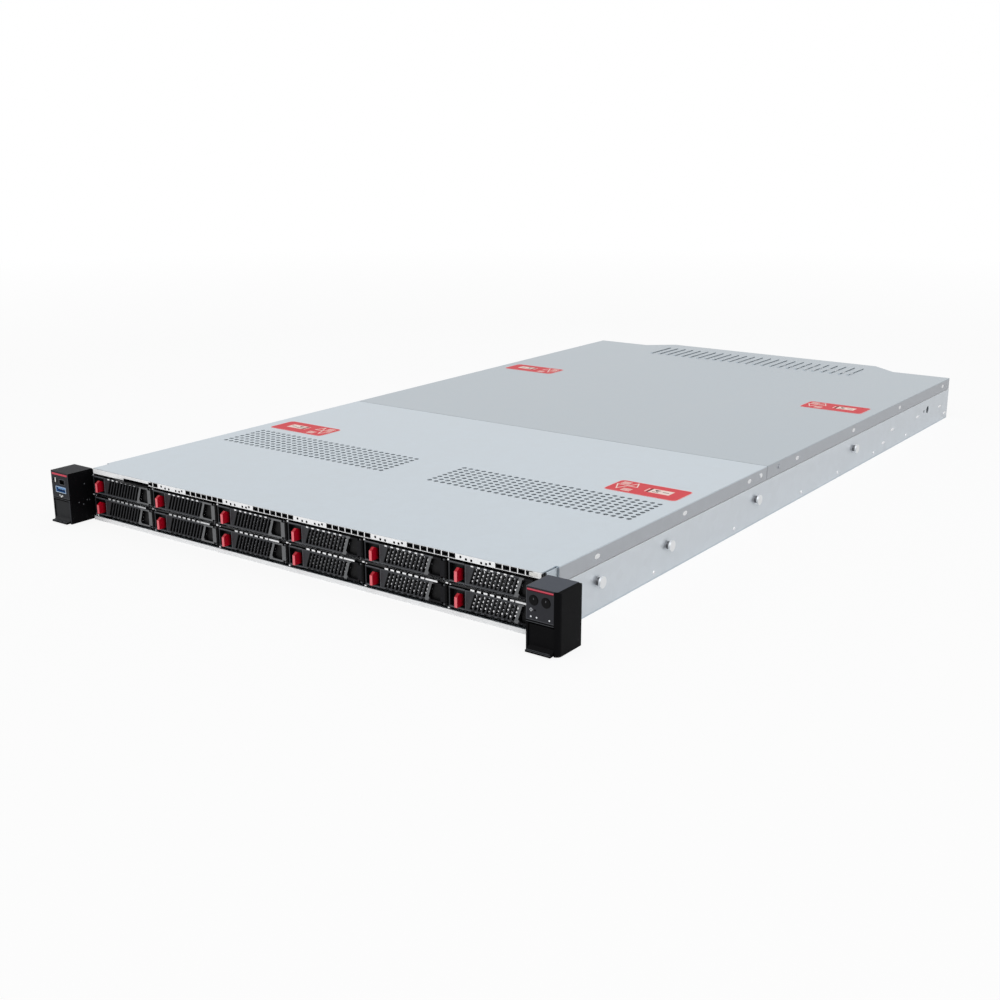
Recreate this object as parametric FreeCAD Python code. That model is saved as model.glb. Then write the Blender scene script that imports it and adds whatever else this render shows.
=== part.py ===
import FreeCAD, Part
import math
import os

# Rack server, one rack unit high, twelve drive bays. Millimetres.
# Design frame: X to the right seen from the front, Y from the front cover's flange to the rear,
# Z up from the underside. place() moves the finished pieces to the middle of the whole length.

V = FreeCAD.Vector
X_AXIS = V(1, 0, 0)
Y_AXIS = V(0, 1, 0)
Z_AXIS = V(0, 0, 1)

# Overall
rack_width = 482.6
ear_span = 24.0
body_width = rack_width - 2 * ear_span
body_height = 43.0
body_depth = 778.7
rear_bulge = 23.3
bulge_supply_gap = 13.1
bulge_slope_run = 28.0
cover_split = 318.0
cover_seam = 0.6

# Sheet metal
tray_sheet = 1.2
wall_sheet = 1.0
cover_sheet = 1.0
joggle = 1.5
shoulder_drop = 11.6
cover_inset = 0.3
cover_edge_gap = 0.3
front_lip_height = 3.3
corner_relief_length = 16.0
corner_relief_width = 2.7

# Front flange of the front cover and its holes
flange_drop = 4.2
flange_slot_width = 4.4
flange_slot_height = 2.2
flange_slot_room = 29.0
flange_slot_pitch = 5.82
flange_slot_start = 39.4
flange_slot_drop = 0.1
flange_dot_radius = 0.9
flange_dot_rise = 0.15
flange_dot_fall = 0.7
flange_dot_tops = (9.6, 32.8)
flange_dot_lows = (14.0, 18.2, 26.0, 29.8)

# Round holes in the front cover
vent_hole_radius = 2.0
vent_pitch = 6.29
vent_side_margin = 9.0
vent_rows = 8
vent_inner_edge = 24.5
vent_front_edge = 128.5

# Louvres in the rear cover
louvre_side_margin = 5.0
louvre_pitch = 10.1
louvre_length = 44.0
louvre_slot_width = 2.6
louvre_height = 0.8
louvre_rear_margin = 2.5
louvre_foot = 0.8
louvre_nose = 0.6
louvre_sheet = 0.4
louvre_overhang = 0.2
louvre_cap = 0.6

# Drive bays
bay_columns = 6
bay_margin = 3.1
cage_sheet = 0.8
shelf_sheet = 1.2
tier_gap = 3.4
lower_bezel_bottom = 6.0
bezel_top_gap = 1.4
carrier_gap = 0.35
cage_front = 0.3
cage_tail = 3.0
cage_top_gap = 0.5
base_setback = 6.0
cage_foot_width = 10.0
comb_start = 19.1
comb_pitch = 5.13
comb_tooth = 3.0
comb_count = 7
comb_dash_start = 53.9
comb_dash_length = 9.8
comb_reach = 2.5

# Drive carrier
bezel_front = -1.0
bezel_depth = 10.0
bezel_rim = 1.2
pocket_depth = 3.5
pocket_wall = 0.85
pocket_rise = 1.3
bezel_step = 0.4
window_inset = 2.0
lug_root = 0.5
cheek_gap = 0.3
screen_setback = 2.2
screen_row_share = 0.87
screen_margin = 0.6
tray_overlap = 5.0
tray_foot = 3.0
plug_length = 1.5
plug_lift = 1.2
plug_trim = 1.0
tray_drop = 1.25
carrier_sheet = 0.6
carrier_tail = 5.8
drive_length = 100.2
drive_height = 9.5
drive_side_gap = 0.025
screen_sheet = 0.5
screen_hole_radius = 1.1
screen_pitch = 3.1
carrier_travel_room = 3.0

# Carrier lever
lever_start = 13.8
lever_thickness = 1.9
lever_edge_gap = 0.2
lug_height = 1.3
lug_gap = 0.3
lug_edge = 0.25
neck_overlap = 0.5
pivot_radius = 0.8
pivot_clearance = 0.05
pivot_recess = 0.4
grille_slots = 12
grille_pitch = 3.27
grille_slot_width = 1.9
grille_slant = 4.0
grille_start = 17.6
grille_edge = 1.5
window_right_inset = 3.5
window_top_length = 6.9
window_bottom_length = 10.0
window_edge = 0.9
window_chamfer = 1.6

# Release tab
tab_left = 9.0
tab_thickness = 2.2
tab_edge_room = 5.1
tab_reach = 5.0
tab_travel = 3.0
tab_foot = 2.4
tab_stem_height = 4.0
tab_gap = 0.25
tab_hook_depth = 1.0
tab_hook_rise = 1.2
tab_foot_setback = 0.9
tab_slant_drop = 2.0
tab_slant_run = 3.0
tab_back_drop = 2.2

# Ears
ear_gap = 0.7
ear_reach = 21.5
ear_bottom = 0.8
ear_top_drop = 1.0
ear_plate = 2.0
ear_plate_setback = 1.8
ear_round = 3.5
ear_wall = 1.4
ear_panel_height = 22.4
ear_divider_sheet = 1.4
ear_outer_wall = 3.2
ear_edge_chamfer = 1.2
ear_strip_height = 1.4
ear_strip_proud = 0.25
ear_strip_drop = 2.6
ear_strip_inner_inset = 0.8
ear_strip_outer_inset = 0.3
tongue_sheet = 1.2
tongue_length = 25.0
tongue_bottom = 4.0
tongue_drop = 1.4
latch_setback = 0.8
latch_sheet = 1.8
latch_gap = 0.3
latch_lip_reach = 25.0
latch_lip_sheet = 1.4
latch_pivot_drop = 2.2
latch_pivot_radius = 1.0
latch_pivot_length = 0.9
latch_pivot_end_gap = 0.2
latch_rise = 0.4
latch_ramp = 2.2

# Rack screws
rack_screw_inset = 8.74
rack_screw_z = 6.4
rack_screw_radius = 2.9
rack_screw_neck = 2.1
rack_screw_hole = 2.4
rack_screw_head = 3.7
rack_screw_head_length = 5.0
rack_screw_head_gap = 7.0
rack_screw_reach = 6.0
rack_screw_gap = 0.3
rack_screw_slot_width = 1.2
rack_screw_slot_depth = 1.2

# Buttons, on the right ear
button_radius = 2.9
button_clearance = 0.06
button_length = 5.0
button_proud = 0.3
button_flange = 0.8
button_flange_sheet = 1.0
button_flange_gap = 0.15
button_drop = 8.2
power_button_inset = 17.8
id_button_inset = 9.0

# Sockets, on the left ear
usb_width = 13.4
usb_height = 5.6
usb_drop = 14.3
usb_inset = 13.2
display_width = 7.4
display_height = 5.0
display_drop = 7.8
display_inset = 15.4
jack_radius = 2.6
jack_drop = 7.0
jack_inset = 7.2
socket_depth = 3.6
socket_body = 12.0
socket_recess = 0.4
socket_play = 0.4
socket_wall = 0.6
usb_tongue = 1.6
display_tongue = 0.8
tongue_side_gap = 0.8
tongue_setback = 0.8
jack_setback = 0.8
jack_play = 0.2

# Label tab above the first bay
label_wall_gap = 5.2
label_width = 39.0
label_sheet = 0.8
label_length = 70.0
label_reach = 4.0
label_gap = 0.25
label_slot_width = 12.0
label_slot_depth = 2.0
label_corner = 2.7
label_guide_sheet = 0.8
label_guide_ledge = 2.5
label_notch_share = 0.25
label_notch_cap = 1.6
label_slot_inset = 1.6
label_guide_front = 14.0

# Backplane
board_sheet = 1.6
backplane_bottom = 1.4
backplane_drop = 3.0
backplane_side_gap = 1.0
connector_width = 42.0
connector_height = 5.0
connector_depth = 4.5
backplane_slot_width = 50.0
backplane_slot_height = 3.4
backplane_slot_drop = 0.8
connector_lift = 1.0

# Fans
fan_count = 5
fan_side_room = 14.8
fan_board_gap = 12.0
fan_length = 56.0
fan_width_extra = 0.5
fan_bottom = 1.5
fan_top_gap = 1.0
fan_ring_wall = 1.35
fan_tip_gap = 0.7
fan_hub_radius = 10.0
fan_blades = 7
blade_sheet = 1.4
blade_pitch_deg = 38.0
blade_length = 16.0
rotor_setback = 8.0
rotor_length = 22.0
spindle_radius = 1.5
spindle_clearance = 0.06
spider_sheet = 3.0
spider_arm = 3.0
spider_gap = 3.0
spider_overlap = 0.2
blade_root_overlap = 0.6
baffle_sheet = 1.0
baffle_setback = 4.0
baffle_gap = 0.5

# Mainboard
mainboard_lead = 193.0
mainboard_side_gap = 8.0
mainboard_wall_gap = 1.0
mainboard_supply_gap = 8.0
mainboard_rear_gap = 4.0
mainboard_bottom = 4.0
standoff_radius = 2.5
standoff_inset = 8.0
standoff_supply_lead = 20.0
standoff_rear_lead = 41.7
sink_width = 76.0
sink_length = 108.0
sink_base = 4.0
sink_height = 25.0
sink_fins = 19
sink_fin_sheet = 1.2
sink_setback = 32.0
sink_socket_width = 60.0
sink_socket_height = 2.0
sink_socket_inset = 16.0
memory_per_bank = 8
memory_sheet = 1.3
memory_length = 133.35
memory_height = 30.0
memory_setback = 20.0
memory_edge_gap = 12.8
memory_socket_height = 7.0
memory_socket_end = 3.0
memory_sunk = 5.0
memory_bank_gap = 1.0
memory_side_gap = 2.0
riser_length = 110.0
riser_top_gap = 3.4
riser_x = 8.0
riser_rear_gap = 14.0

# Power supplies
supply_width = 73.5
supply_top_gap = 1.5
supply_length = 185.0
supply_gap = 0.6
supply_setback = 2.7
supply_lift = 0.3
supply_sheet = 1.2
supply_edge_slot = 52.0
supply_slot_lift = 2.0
supply_slot_height = 8.0
inlet_width = 27.0
inlet_height = 20.0
inlet_depth = 14.0
inlet_inset = 18.5
inlet_pin_width = 4.0
inlet_pin_sheet = 2.0
inlet_pin_root = 1.0
inlet_pin_setback = 1.5
inlet_pins = ((0, 3.5), (-7, -1.5), (7, -1.5))
inlet_chamfer = 4.0
handle_reach = 22.0
handle_height = 30.0
handle_thick = 3.5
handle_width = 12.0
handle_inset = 18.0
supply_vent_radius = 1.6
supply_vent_pitch = 4.3
supply_vent_lead = 7.0
supply_vent_edge = 4.0

# Rear wall
divider_lead = 5.0
bracket_inner_gap = 14.0
bracket_outer_gap = 13.0
bracket_drop = 4.75
bracket_rise = 18.15
bracket_lap = 1.5
bracket_slots = 11
bracket_slot_width = 4.0
bracket_slot_edge = 2.75
socket_clearance = 0.3
network_spans = (30.0, 48.0)
network_width = 16.0
network_height = 13.4
network_depth = 21.0
network_mouth_width = 11.8
network_mouth_height = 8.2
network_mouth_depth = 13.0
fibre_x = (40.0, 57.0)
fibre_width = 15.0
fibre_height = 10.4
fibre_depth = 45.0
fibre_wall = 0.8
video_inset = 45.0
video_width = 31.0
video_height = 12.5
video_shell_width = 17.0
video_shell_height = 8.4
video_flange_sheet = 1.0
video_shell_proud = 0.2
video_shell_slope = 1.5
video_body_width = 28.0
video_body_depth = 15.0
video_body_drop = 1.0
serial_bus_inset = 19.0
serial_bus_width = 14.5
serial_bus_height = 15.0
serial_bus_depth = 17.0
serial_bus_mouth = 3.6
serial_bus_edge = 2.2
serial_bus_wall = 1.0

# Fasteners on the side walls
stud_z = 20.2
stud_y = (61.7, 155.1, 298.4, 505.8)
stud_neck_radius = 2.75
stud_neck_length = 2.5
stud_head_radius = 4.0
stud_head_length = 1.5
rail_hole_lead = 66.7
rail_hole_radius = 3.6
rail_pin_hole_radius = 1.5
rail_pin_hole_ahead = 11.0
side_screw_drop = 5.0
side_screw_y = (306.0, 341.0)
side_screw_radius = 1.9
side_screw_head = 0.7
side_screw_hole = 1.2
side_screw_clearance = 0.02
side_screw_past = 1.0

# Derived
half_body = body_width / 2
half_rack = rack_width / 2
rack_screw_x = half_rack - rack_screw_inset
rail_hole_y = body_depth - rail_hole_lead
shoulder_height = body_height - shoulder_drop
side_screw_z = body_height - side_screw_drop
rear_end = body_depth + rear_bulge
front_end = -latch_lip_reach
mid_length = (front_end + rear_end) / 2
ear_plate_back = ear_plate_setback + ear_plate
wall_front = ear_plate_back + 0.2
upper_wall_outer = half_body - joggle
upper_wall_inner = upper_wall_outer - wall_sheet
cover_under = body_height - cover_sheet
cover_outer = half_body - cover_inset
flange_bottom = shoulder_height + cover_edge_gap
bay_pitch = (body_width - 2 * bay_margin) / bay_columns
label_left = bay_margin + bay_pitch - label_wall_gap - label_width - half_body
flange_slot_count = int((bay_pitch - flange_slot_room) / flange_slot_pitch)
bezel_room = body_height - flange_drop - bezel_top_gap - lower_bezel_bottom
bezel_height = (bezel_room - tier_gap) / 2
tier_pitch = bezel_height + tier_gap
carrier_length = bezel_depth + carrier_travel_room + drive_length + carrier_tail
cage_back = bezel_front + carrier_length + cage_tail
tab_height = bezel_height - tab_edge_room
carrier_width = bay_pitch - cage_sheet - 2 * carrier_gap
carrier_left = cage_sheet / 2 + carrier_gap
carrier_right = carrier_left + carrier_width
shelf_top = lower_bezel_bottom + tier_pitch - tray_drop - carrier_gap
shelf_bottom = shelf_top - shelf_sheet
base_top = lower_bezel_bottom - tray_drop - carrier_gap
base_bottom = base_top - shelf_sheet
bezel_back = bezel_front + bezel_depth
lever_back = bezel_front + lever_thickness
barrel_radius = lever_thickness
pivot_x = carrier_right - barrel_radius - lug_gap - lug_edge
pivot_y = bezel_front + barrel_radius
window_left = lever_start + window_inset
window_right = pivot_x - window_right_inset - window_bottom_length + window_inset
carrier_body_front = lever_back + bezel_step
ear_inner = half_body + ear_gap
ear_top = body_height - ear_top_drop
ear_divider_bottom = ear_top - ear_panel_height
tongue_top = shoulder_height - tongue_drop
button_z = ear_top - button_drop
usb_z = ear_top - usb_drop
display_z = ear_top - display_drop
jack_z = ear_top - jack_drop
cage_wall_top = cover_under - cage_top_gap
backplane_top = body_height - backplane_drop
fan_height = cover_under - fan_bottom - fan_top_gap
fan_width = fan_height + fan_width_extra
fan_bore = fan_height / 2 - fan_ring_wall
label_top = body_height - flange_drop - label_gap
label_bottom = label_top - label_sheet
pcb_top = mainboard_bottom + board_sheet
riser_height = cover_under - pcb_top - riser_top_gap
bracket_top = body_height - bracket_drop
bracket_opening_height = bracket_top - pcb_top - bracket_rise
bracket_slot_height = bracket_opening_height - 2 * bracket_slot_edge
bracket_z = bracket_top - bracket_opening_height / 2
supply_outer = upper_wall_inner - supply_gap
supply_inner = supply_outer - supply_width
supply_wall = supply_inner - supply_gap
supply_bottom = tray_sheet + supply_lift
supply_height = cover_under - supply_bottom - supply_top_gap
supply_back = body_depth - supply_setback
supply_front = supply_back - supply_length
louvre_back = body_depth - louvre_rear_margin
bulge_half_width = supply_wall - bulge_supply_gap
louvre_count = 2 * int((bulge_half_width - louvre_side_margin) / louvre_pitch) + 1
vent_columns = int((half_body - vent_inner_edge - vent_side_margin) / vent_pitch)
mainboard_front = supply_front - mainboard_lead
mainboard_half = upper_wall_inner - mainboard_side_gap
standoff_y = (
    mainboard_front + standoff_inset,
    supply_front - standoff_supply_lead,
    body_depth - standoff_rear_lead,
)
memory_room = mainboard_half - memory_edge_gap - sink_width - 4 * memory_side_gap
memory_width = memory_room / 2
memory_pitch = (memory_width + memory_bank_gap) / memory_per_bank
memory_front = mainboard_front + memory_setback
sink_x = memory_width + 3 * memory_side_gap + sink_width / 2
sink_front = mainboard_front + sink_setback
fan_pitch = 2 * (upper_wall_inner - fan_side_room) / fan_count
fan_front = mainboard_front - fan_board_gap - fan_length
bracket_opening_width = bulge_half_width - bracket_inner_gap - bracket_outer_gap
bracket_x = bracket_inner_gap + bracket_opening_width / 2
serial_bus_x = serial_bus_inset - bulge_half_width
video_x = video_inset - bulge_half_width
network_x = [video_x + span for span in network_spans]


def box(x0, x1, y0, y1, z0, z1):
    return Part.makeBox(x1 - x0, y1 - y0, z1 - z0, V(x0, y0, z0))


def rod(x, y, z, axis, radius, length):
    return Part.makeCylinder(radius, length, V(x, y, z), axis)


def fuse(shapes):
    shapes = list(shapes)
    if len(shapes) == 1:
        return shapes[0]
    return shapes[0].multiFuse(shapes[1:]).removeSplitter()


def mirror_x(shape):
    return shape.mirror(V(0, 0, 0), X_AXIS)


def both_sides(shape):
    return [shape, mirror_x(shape)]


def ring_xy(points, z):
    corners = [V(x, y, z) for x, y in points]
    return Part.makePolygon(corners + corners[:1])


def ring_xz(points, y):
    corners = [V(x, y, z) for x, z in points]
    return Part.makePolygon(corners + corners[:1])


def rect(x, z, width, height):
    dx = width / 2
    dz = height / 2
    return [(x - dx, z - dz), (x + dx, z - dz), (x + dx, z + dz), (x - dx, z + dz)]


def circle(centre, axis, radius):
    return Part.Wire([Part.makeCircle(radius, centre, axis)])


def sheet_from(rings, travel):
    face = Part.makeFace(rings, "Part::FaceMakerBullseye")
    return face.extrude(travel)


def prism_xy(points, z0, z1):
    return sheet_from([ring_xy(points, z0)], V(0, 0, z1 - z0))


def prism_xz(points, y0, y1):
    return sheet_from([ring_xz(points, y0)], V(0, y1 - y0, 0))


def slope_y(x):
    return rear_end - (x - bulge_half_width) * rear_bulge / bulge_slope_run


def body_outline(half, front):
    slope_end = bulge_half_width + bulge_slope_run
    right = [(half, front), (half, body_depth), (slope_end, body_depth), (bulge_half_width, rear_end)]
    left = [(-x, y) for x, y in reversed(right)]
    return right + left


# Chassis tray: a floor pan with walls riveted on

def side_wall():
    inner = half_body - wall_sheet
    points = [
        (half_body, tray_sheet),
        (half_body, shoulder_height),
        (upper_wall_outer, shoulder_height),
        (upper_wall_outer, cover_under),
        (upper_wall_inner, cover_under),
        (upper_wall_inner, shoulder_height - wall_sheet),
        (inner, shoulder_height - wall_sheet),
        (inner, tray_sheet),
    ]
    wall = prism_xz(points, wall_front, body_depth)
    pin_hole_y = rail_hole_y - rail_pin_hole_ahead
    for y, radius in ((rail_hole_y, rail_hole_radius), (pin_hole_y, rail_pin_hole_radius)):
        wall = wall.cut(rod(inner - 1, y, stud_z, X_AXIS, radius, wall_sheet + 2))
    for y in side_screw_y:
        if y < cover_split:
            hole = rod(upper_wall_inner - 1, y, side_screw_z, X_AXIS, side_screw_hole, wall_sheet + 2)
            wall = wall.cut(hole)
    return wall


def rear_openings():
    y = rear_end - wall_sheet
    holes = []
    for side in (-1, 1):
        opening = rect(side * bracket_x, bracket_z, bracket_opening_width, bracket_opening_height)
        holes.append(ring_xz(opening, y))
    for x, width, height in rear_sockets():
        z = pcb_top + height / 2
        size = (width + 2 * socket_clearance, height + 2 * socket_clearance)
        holes.append(ring_xz(rect(x, z, *size), y))
    return holes


def rear_sockets():
    sockets = [(x, network_width, network_height) for x in network_x]
    sockets += [(x, fibre_width, fibre_height) for x in fibre_x]
    sockets.append((video_x, video_width, video_height))
    sockets.append((serial_bus_x, serial_bus_width, serial_bus_height))
    return sockets


def rear_wall():
    top = cover_under - cover_edge_gap
    y = rear_end - wall_sheet
    height = top - tray_sheet
    outline = ring_xz(rect(0, tray_sheet + height / 2, 2 * bulge_half_width, height), y)
    plate = sheet_from([outline] + rear_openings(), V(0, wall_sheet, 0))
    slope_sheet = wall_sheet * math.hypot(bulge_slope_run, rear_bulge) / bulge_slope_run
    corner_y = slope_y(supply_wall)
    points = [
        (bulge_half_width, rear_end),
        (supply_wall, corner_y),
        (supply_wall, corner_y - slope_sheet),
        (bulge_half_width, rear_end - slope_sheet),
    ]
    slope = prism_xy(points, tray_sheet, top)
    inner = supply_wall - wall_sheet
    front = supply_front - divider_lead
    side = box(inner, supply_wall, front, corner_y - slope_sheet / 2, tray_sheet, top)
    return [plate] + both_sides(fuse([slope, side]))


def slot_blank(side):
    y = rear_end - wall_sheet - cover_sheet
    size = (bracket_opening_width + 2 * bracket_lap, bracket_opening_height + 2 * bracket_lap)
    rings = [ring_xz(rect(side * bracket_x, bracket_z, *size), y)]
    pitch = bracket_opening_width / bracket_slots
    for i in range(bracket_slots):
        x = side * bracket_x + (i - (bracket_slots - 1) / 2) * pitch
        rings.append(ring_xz(rect(x, bracket_z, bracket_slot_width, bracket_slot_height), y))
    return sheet_from(rings, V(0, cover_sheet, 0))


def chassis_tray():
    floor = prism_xy(body_outline(half_body, 0), 0, tray_sheet)
    lip = box(-half_body, half_body, 0, tray_sheet, 0, front_lip_height)
    pan = fuse([floor, lip])
    blanks = [slot_blank(-1), slot_blank(1)]
    return [pan] + both_sides(side_wall()) + rear_wall() + blanks


# Covers

def vent_rings(side):
    rings = []
    for row in range(vent_rows):
        for column in range(vent_columns):
            x = side * (vent_inner_edge + column * vent_pitch)
            centre = V(x, vent_front_edge + row * vent_pitch, cover_under)
            rings.append(circle(centre, Z_AXIS, vent_hole_radius))
    return rings


def flange_rings():
    z_mid = cover_under - flange_slot_height / 2 - flange_slot_drop
    limit = cover_outer - corner_relief_width - flange_slot_width
    rings = []
    for bay in range(-bay_columns // 2, bay_columns // 2):
        start = bay * bay_pitch
        slots = [start + flange_slot_start + i * flange_slot_pitch for i in range(flange_slot_count)]
        for x in slots:
            over_label = label_left < x < label_left + label_width + flange_slot_width / 2
            if abs(x) < limit and not over_label:
                rings.append(ring_xz(rect(x, z_mid, flange_slot_width, flange_slot_height), 0))
        dots = [(start + x, z_mid + flange_dot_rise) for x in flange_dot_tops]
        dots += [(start + x, z_mid - flange_dot_fall) for x in flange_dot_lows]
        for x, z in dots:
            if x > label_left + label_width:
                rings.append(circle(V(x, 0, z), Y_AXIS, flange_dot_radius))
    return rings


def label_notch():
    start = label_left + label_width * label_notch_share
    top = cover_under - label_notch_cap
    return box(start, label_left + label_width, -1, cover_sheet + 1, 0, top)


def side_flange(front, back):
    inner = cover_outer - cover_sheet
    flange = box(inner, cover_outer, front, back, flange_bottom, cover_under)
    for y in side_screw_y:
        if front < y < back:
            hole = rod(inner - 1, y, side_screw_z, X_AXIS, side_screw_hole, cover_sheet + 2)
            flange = flange.cut(hole)
    return flange


def label_guide(side):
    middle = label_left + label_width / 2
    wall = middle + side * (label_width / 2 + label_gap)
    outer = wall + side * label_guide_sheet
    ledge = wall - side * label_guide_ledge
    low = label_bottom - label_gap - label_guide_sheet
    high = label_bottom - label_gap
    points = [(outer, low), (ledge, low), (ledge, high), (wall, high)]
    points += [(wall, cover_under), (outer, cover_under)]
    return prism_xz(points, label_guide_front, label_length)


def front_cover():
    narrow = cover_outer - corner_relief_width
    back = cover_split - cover_seam / 2
    step = corner_relief_length
    right = [(narrow, 0), (narrow, step), (cover_outer, step), (cover_outer, back)]
    outline = right + [(-x, y) for x, y in reversed(right)]
    rings = [ring_xy(outline, cover_under)] + vent_rings(-1) + vent_rings(1)
    plate = sheet_from(rings, V(0, 0, cover_sheet))
    drop = flange_drop - cover_sheet
    flange_outline = ring_xz(rect(0, cover_under - drop / 2, 2 * narrow, drop), 0)
    flange = sheet_from([flange_outline] + flange_rings(), V(0, cover_sheet, 0))
    flange = flange.cut(label_notch())
    sides = both_sides(side_flange(step, back))
    return [fuse([plate, flange])] + sides + [label_guide(-1), label_guide(1)]


def louvre_slot(x):
    y0 = louvre_back - louvre_length
    left = x - louvre_slot_width / 2
    right = x + louvre_slot_width / 2
    return [(left, y0), (right, y0), (right, louvre_back), (left, louvre_back)]


def louvre_hood(x):
    left = x - louvre_slot_width / 2
    foot = left - louvre_foot
    nose = x + louvre_slot_width / 2 + louvre_overhang
    crest = nose - louvre_overhang - louvre_foot
    rise = body_height + louvre_height
    points = [
        (foot, body_height),
        (left, body_height),
        (nose - louvre_overhang - louvre_nose, rise - louvre_sheet),
        (nose, rise - louvre_sheet),
        (nose, rise),
        (crest, rise),
    ]
    front = louvre_back - louvre_length
    hood = prism_xz(points, front, louvre_back)
    cap = [(foot, body_height), (nose, body_height), (nose, rise), (crest, rise)]
    caps = [prism_xz(cap, y, y + louvre_cap) for y in (front - louvre_cap, louvre_back)]
    return [hood] + caps


def rear_cover():
    front = cover_split + cover_seam / 2
    middle = (louvre_count - 1) / 2
    places = [(i - middle) * louvre_pitch for i in range(louvre_count)]
    rings = [ring_xy(body_outline(cover_outer, front), cover_under)]
    rings += [ring_xy(louvre_slot(x), cover_under) for x in places]
    plate = sheet_from(rings, V(0, 0, cover_sheet))
    hoods = [piece for x in places for piece in louvre_hood(x)]
    solids = [fuse([plate] + hoods)] + both_sides(side_flange(front, body_depth))
    for y in side_screw_y:
        if y > cover_split:
            solids += both_sides(side_screw(y, cover_sheet))
    return solids


# Drive cage and backplane

def shelf_comb(x_left):
    teeth = [(comb_start + i * comb_pitch, comb_tooth) for i in range(comb_count)]
    teeth.append((comb_dash_start, comb_dash_length))
    return [(x_left + start, x_left + start + width) for start, width in teeth]


def drive_cage():
    half = bay_columns * bay_pitch / 2 + cage_sheet / 2
    shelf = [box(-half, half, cage_front, cage_back, shelf_bottom, shelf_top)]
    for column in range(bay_columns):
        left = -bay_columns * bay_pitch / 2 + column * bay_pitch
        for x0, x1 in shelf_comb(left):
            shelf.append(box(x0, x1, cage_front - comb_reach, cage_front, shelf_bottom, shelf_top))
    base = box(-half, half, base_setback, cage_back, base_bottom, base_top)
    solids = [fuse(shelf), base]
    foot_half = cage_foot_width / 2
    for x in (-half + foot_half, 0, half - foot_half):
        foot = box(x - foot_half, x + foot_half, base_setback, cage_back, tray_sheet, base_bottom)
        solids.append(foot)
    for wall in range(bay_columns + 1):
        x = -bay_columns * bay_pitch / 2 + wall * bay_pitch
        left = x - cage_sheet / 2
        right = x + cage_sheet / 2
        solids.append(box(left, right, base_setback, cage_back, base_top, shelf_bottom))
        solids.append(upper_cage_wall(left, right))
    return solids


def upper_cage_wall(left, right):
    flange_back = cover_sheet + carrier_gap
    nose_top = body_height - flange_drop - carrier_gap
    wall = box(left, right, flange_back, cage_back, shelf_top, cage_wall_top)
    nose = box(left, right, cage_front, flange_back, shelf_top, nose_top)
    return fuse([wall, nose])


def bay_place(index):
    column = index % bay_columns
    tier = index // bay_columns
    x = -bay_columns * bay_pitch / 2 + column * bay_pitch
    return V(x, 0, lower_bezel_bottom + (1 - tier) * tier_pitch)


def drive_backplane():
    half = upper_wall_inner - backplane_side_gap
    y = cage_back
    height = backplane_top - backplane_bottom
    outline = rect(0, backplane_bottom + height / 2, 2 * half, height)
    rings = [ring_xz(outline, y)]
    connectors = []
    for index in range(2 * bay_columns):
        corner = bay_place(index)
        x = corner.x + bay_pitch / 2
        z = corner.z + bezel_height - backplane_slot_height / 2 - backplane_slot_drop
        rings.append(ring_xz(rect(x, z, backplane_slot_width, backplane_slot_height), y))
        low = corner.z + connector_lift
        dx = connector_width / 2
        connectors.append(box(x - dx, x + dx, y - connector_depth, y, low, low + connector_height))
    board = sheet_from(rings, V(0, board_sheet, 0))
    return [board] + connectors


# Drive carriers, drawn for a bay whose lower left front corner is the origin

def carrier_bezel():
    outline = rect((carrier_left + carrier_right) / 2, bezel_height / 2, carrier_width, bezel_height)
    middle = (window_left + window_right) / 2
    window = rect(middle, bezel_height / 2, window_right - window_left, bezel_height - 2 * bezel_rim)
    y = carrier_body_front
    frame = sheet_from([ring_xz(outline, y), ring_xz(window, y)], V(0, bezel_back - y, 0))
    cheek_right = lever_start - cheek_gap
    cheek = box(carrier_left, cheek_right, bezel_front, y, 0, bezel_height)
    lugs = []
    for z in (0, bezel_height - lug_height):
        lugs.append(rod(pivot_x, pivot_y, z, Z_AXIS, barrel_radius, lug_height))
        edge = pivot_x + barrel_radius
        lugs.append(box(pivot_x - barrel_radius, edge, pivot_y, y + lug_root, z, z + lug_height))
    body = fuse([frame, cheek] + lugs)
    return body.cut(fuse(bezel_cuts()))


def bezel_cuts():
    pocket_back = bezel_front + pocket_depth
    low = bezel_height / 2 - tab_height / 2 - pocket_rise
    high = bezel_height / 2 + tab_height / 2 + pocket_rise
    pocket = box(carrier_left + pocket_wall, lever_start, bezel_front - 1, pocket_back, low, high)
    mid = bezel_height / 2
    stem = tab_stem_height / 2 + tab_gap
    slot_left = tab_left - tab_travel - tab_gap
    slot_right = tab_left + tab_thickness + tab_gap
    slot = box(slot_left, slot_right, bezel_front, bezel_back + 1, mid - stem, mid + stem)
    reach = barrel_radius + lug_gap
    span = bezel_height - 2 * lug_height
    round_room = rod(pivot_x, pivot_y, lug_height, Z_AXIS, reach, span)
    lug_top = bezel_height - lug_height
    edge_room = box(pivot_x, carrier_right + 1, bezel_front, pivot_y + reach, lug_height, lug_top)
    hole = rod(pivot_x, pivot_y, -1, Z_AXIS, pivot_radius + pivot_clearance, bezel_height + 2)
    return [pocket, slot, round_room, edge_room, hole]


def carrier_screen():
    y = carrier_body_front + screen_setback
    middle = (window_left + window_right) / 2
    width = window_right - window_left
    height = bezel_height - 2 * bezel_rim
    rings = [ring_xz(rect(middle, bezel_height / 2, width, height), y)]
    columns = int((width - screen_pitch) / screen_pitch)
    row_pitch = screen_pitch * screen_row_share
    rows = int((height - 2 * screen_margin) / row_pitch)
    for column in range(columns):
        for row in range(rows):
            stagger = (row % 2 - 0.5) * screen_pitch / 2
            x = middle + (column - (columns - 1) / 2) * screen_pitch + stagger
            z = bezel_height / 2 + (row - (rows - 1) / 2) * row_pitch
            rings.append(circle(V(x, y, z), Y_AXIS, screen_hole_radius))
    return sheet_from(rings, V(0, screen_sheet, 0))


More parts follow.
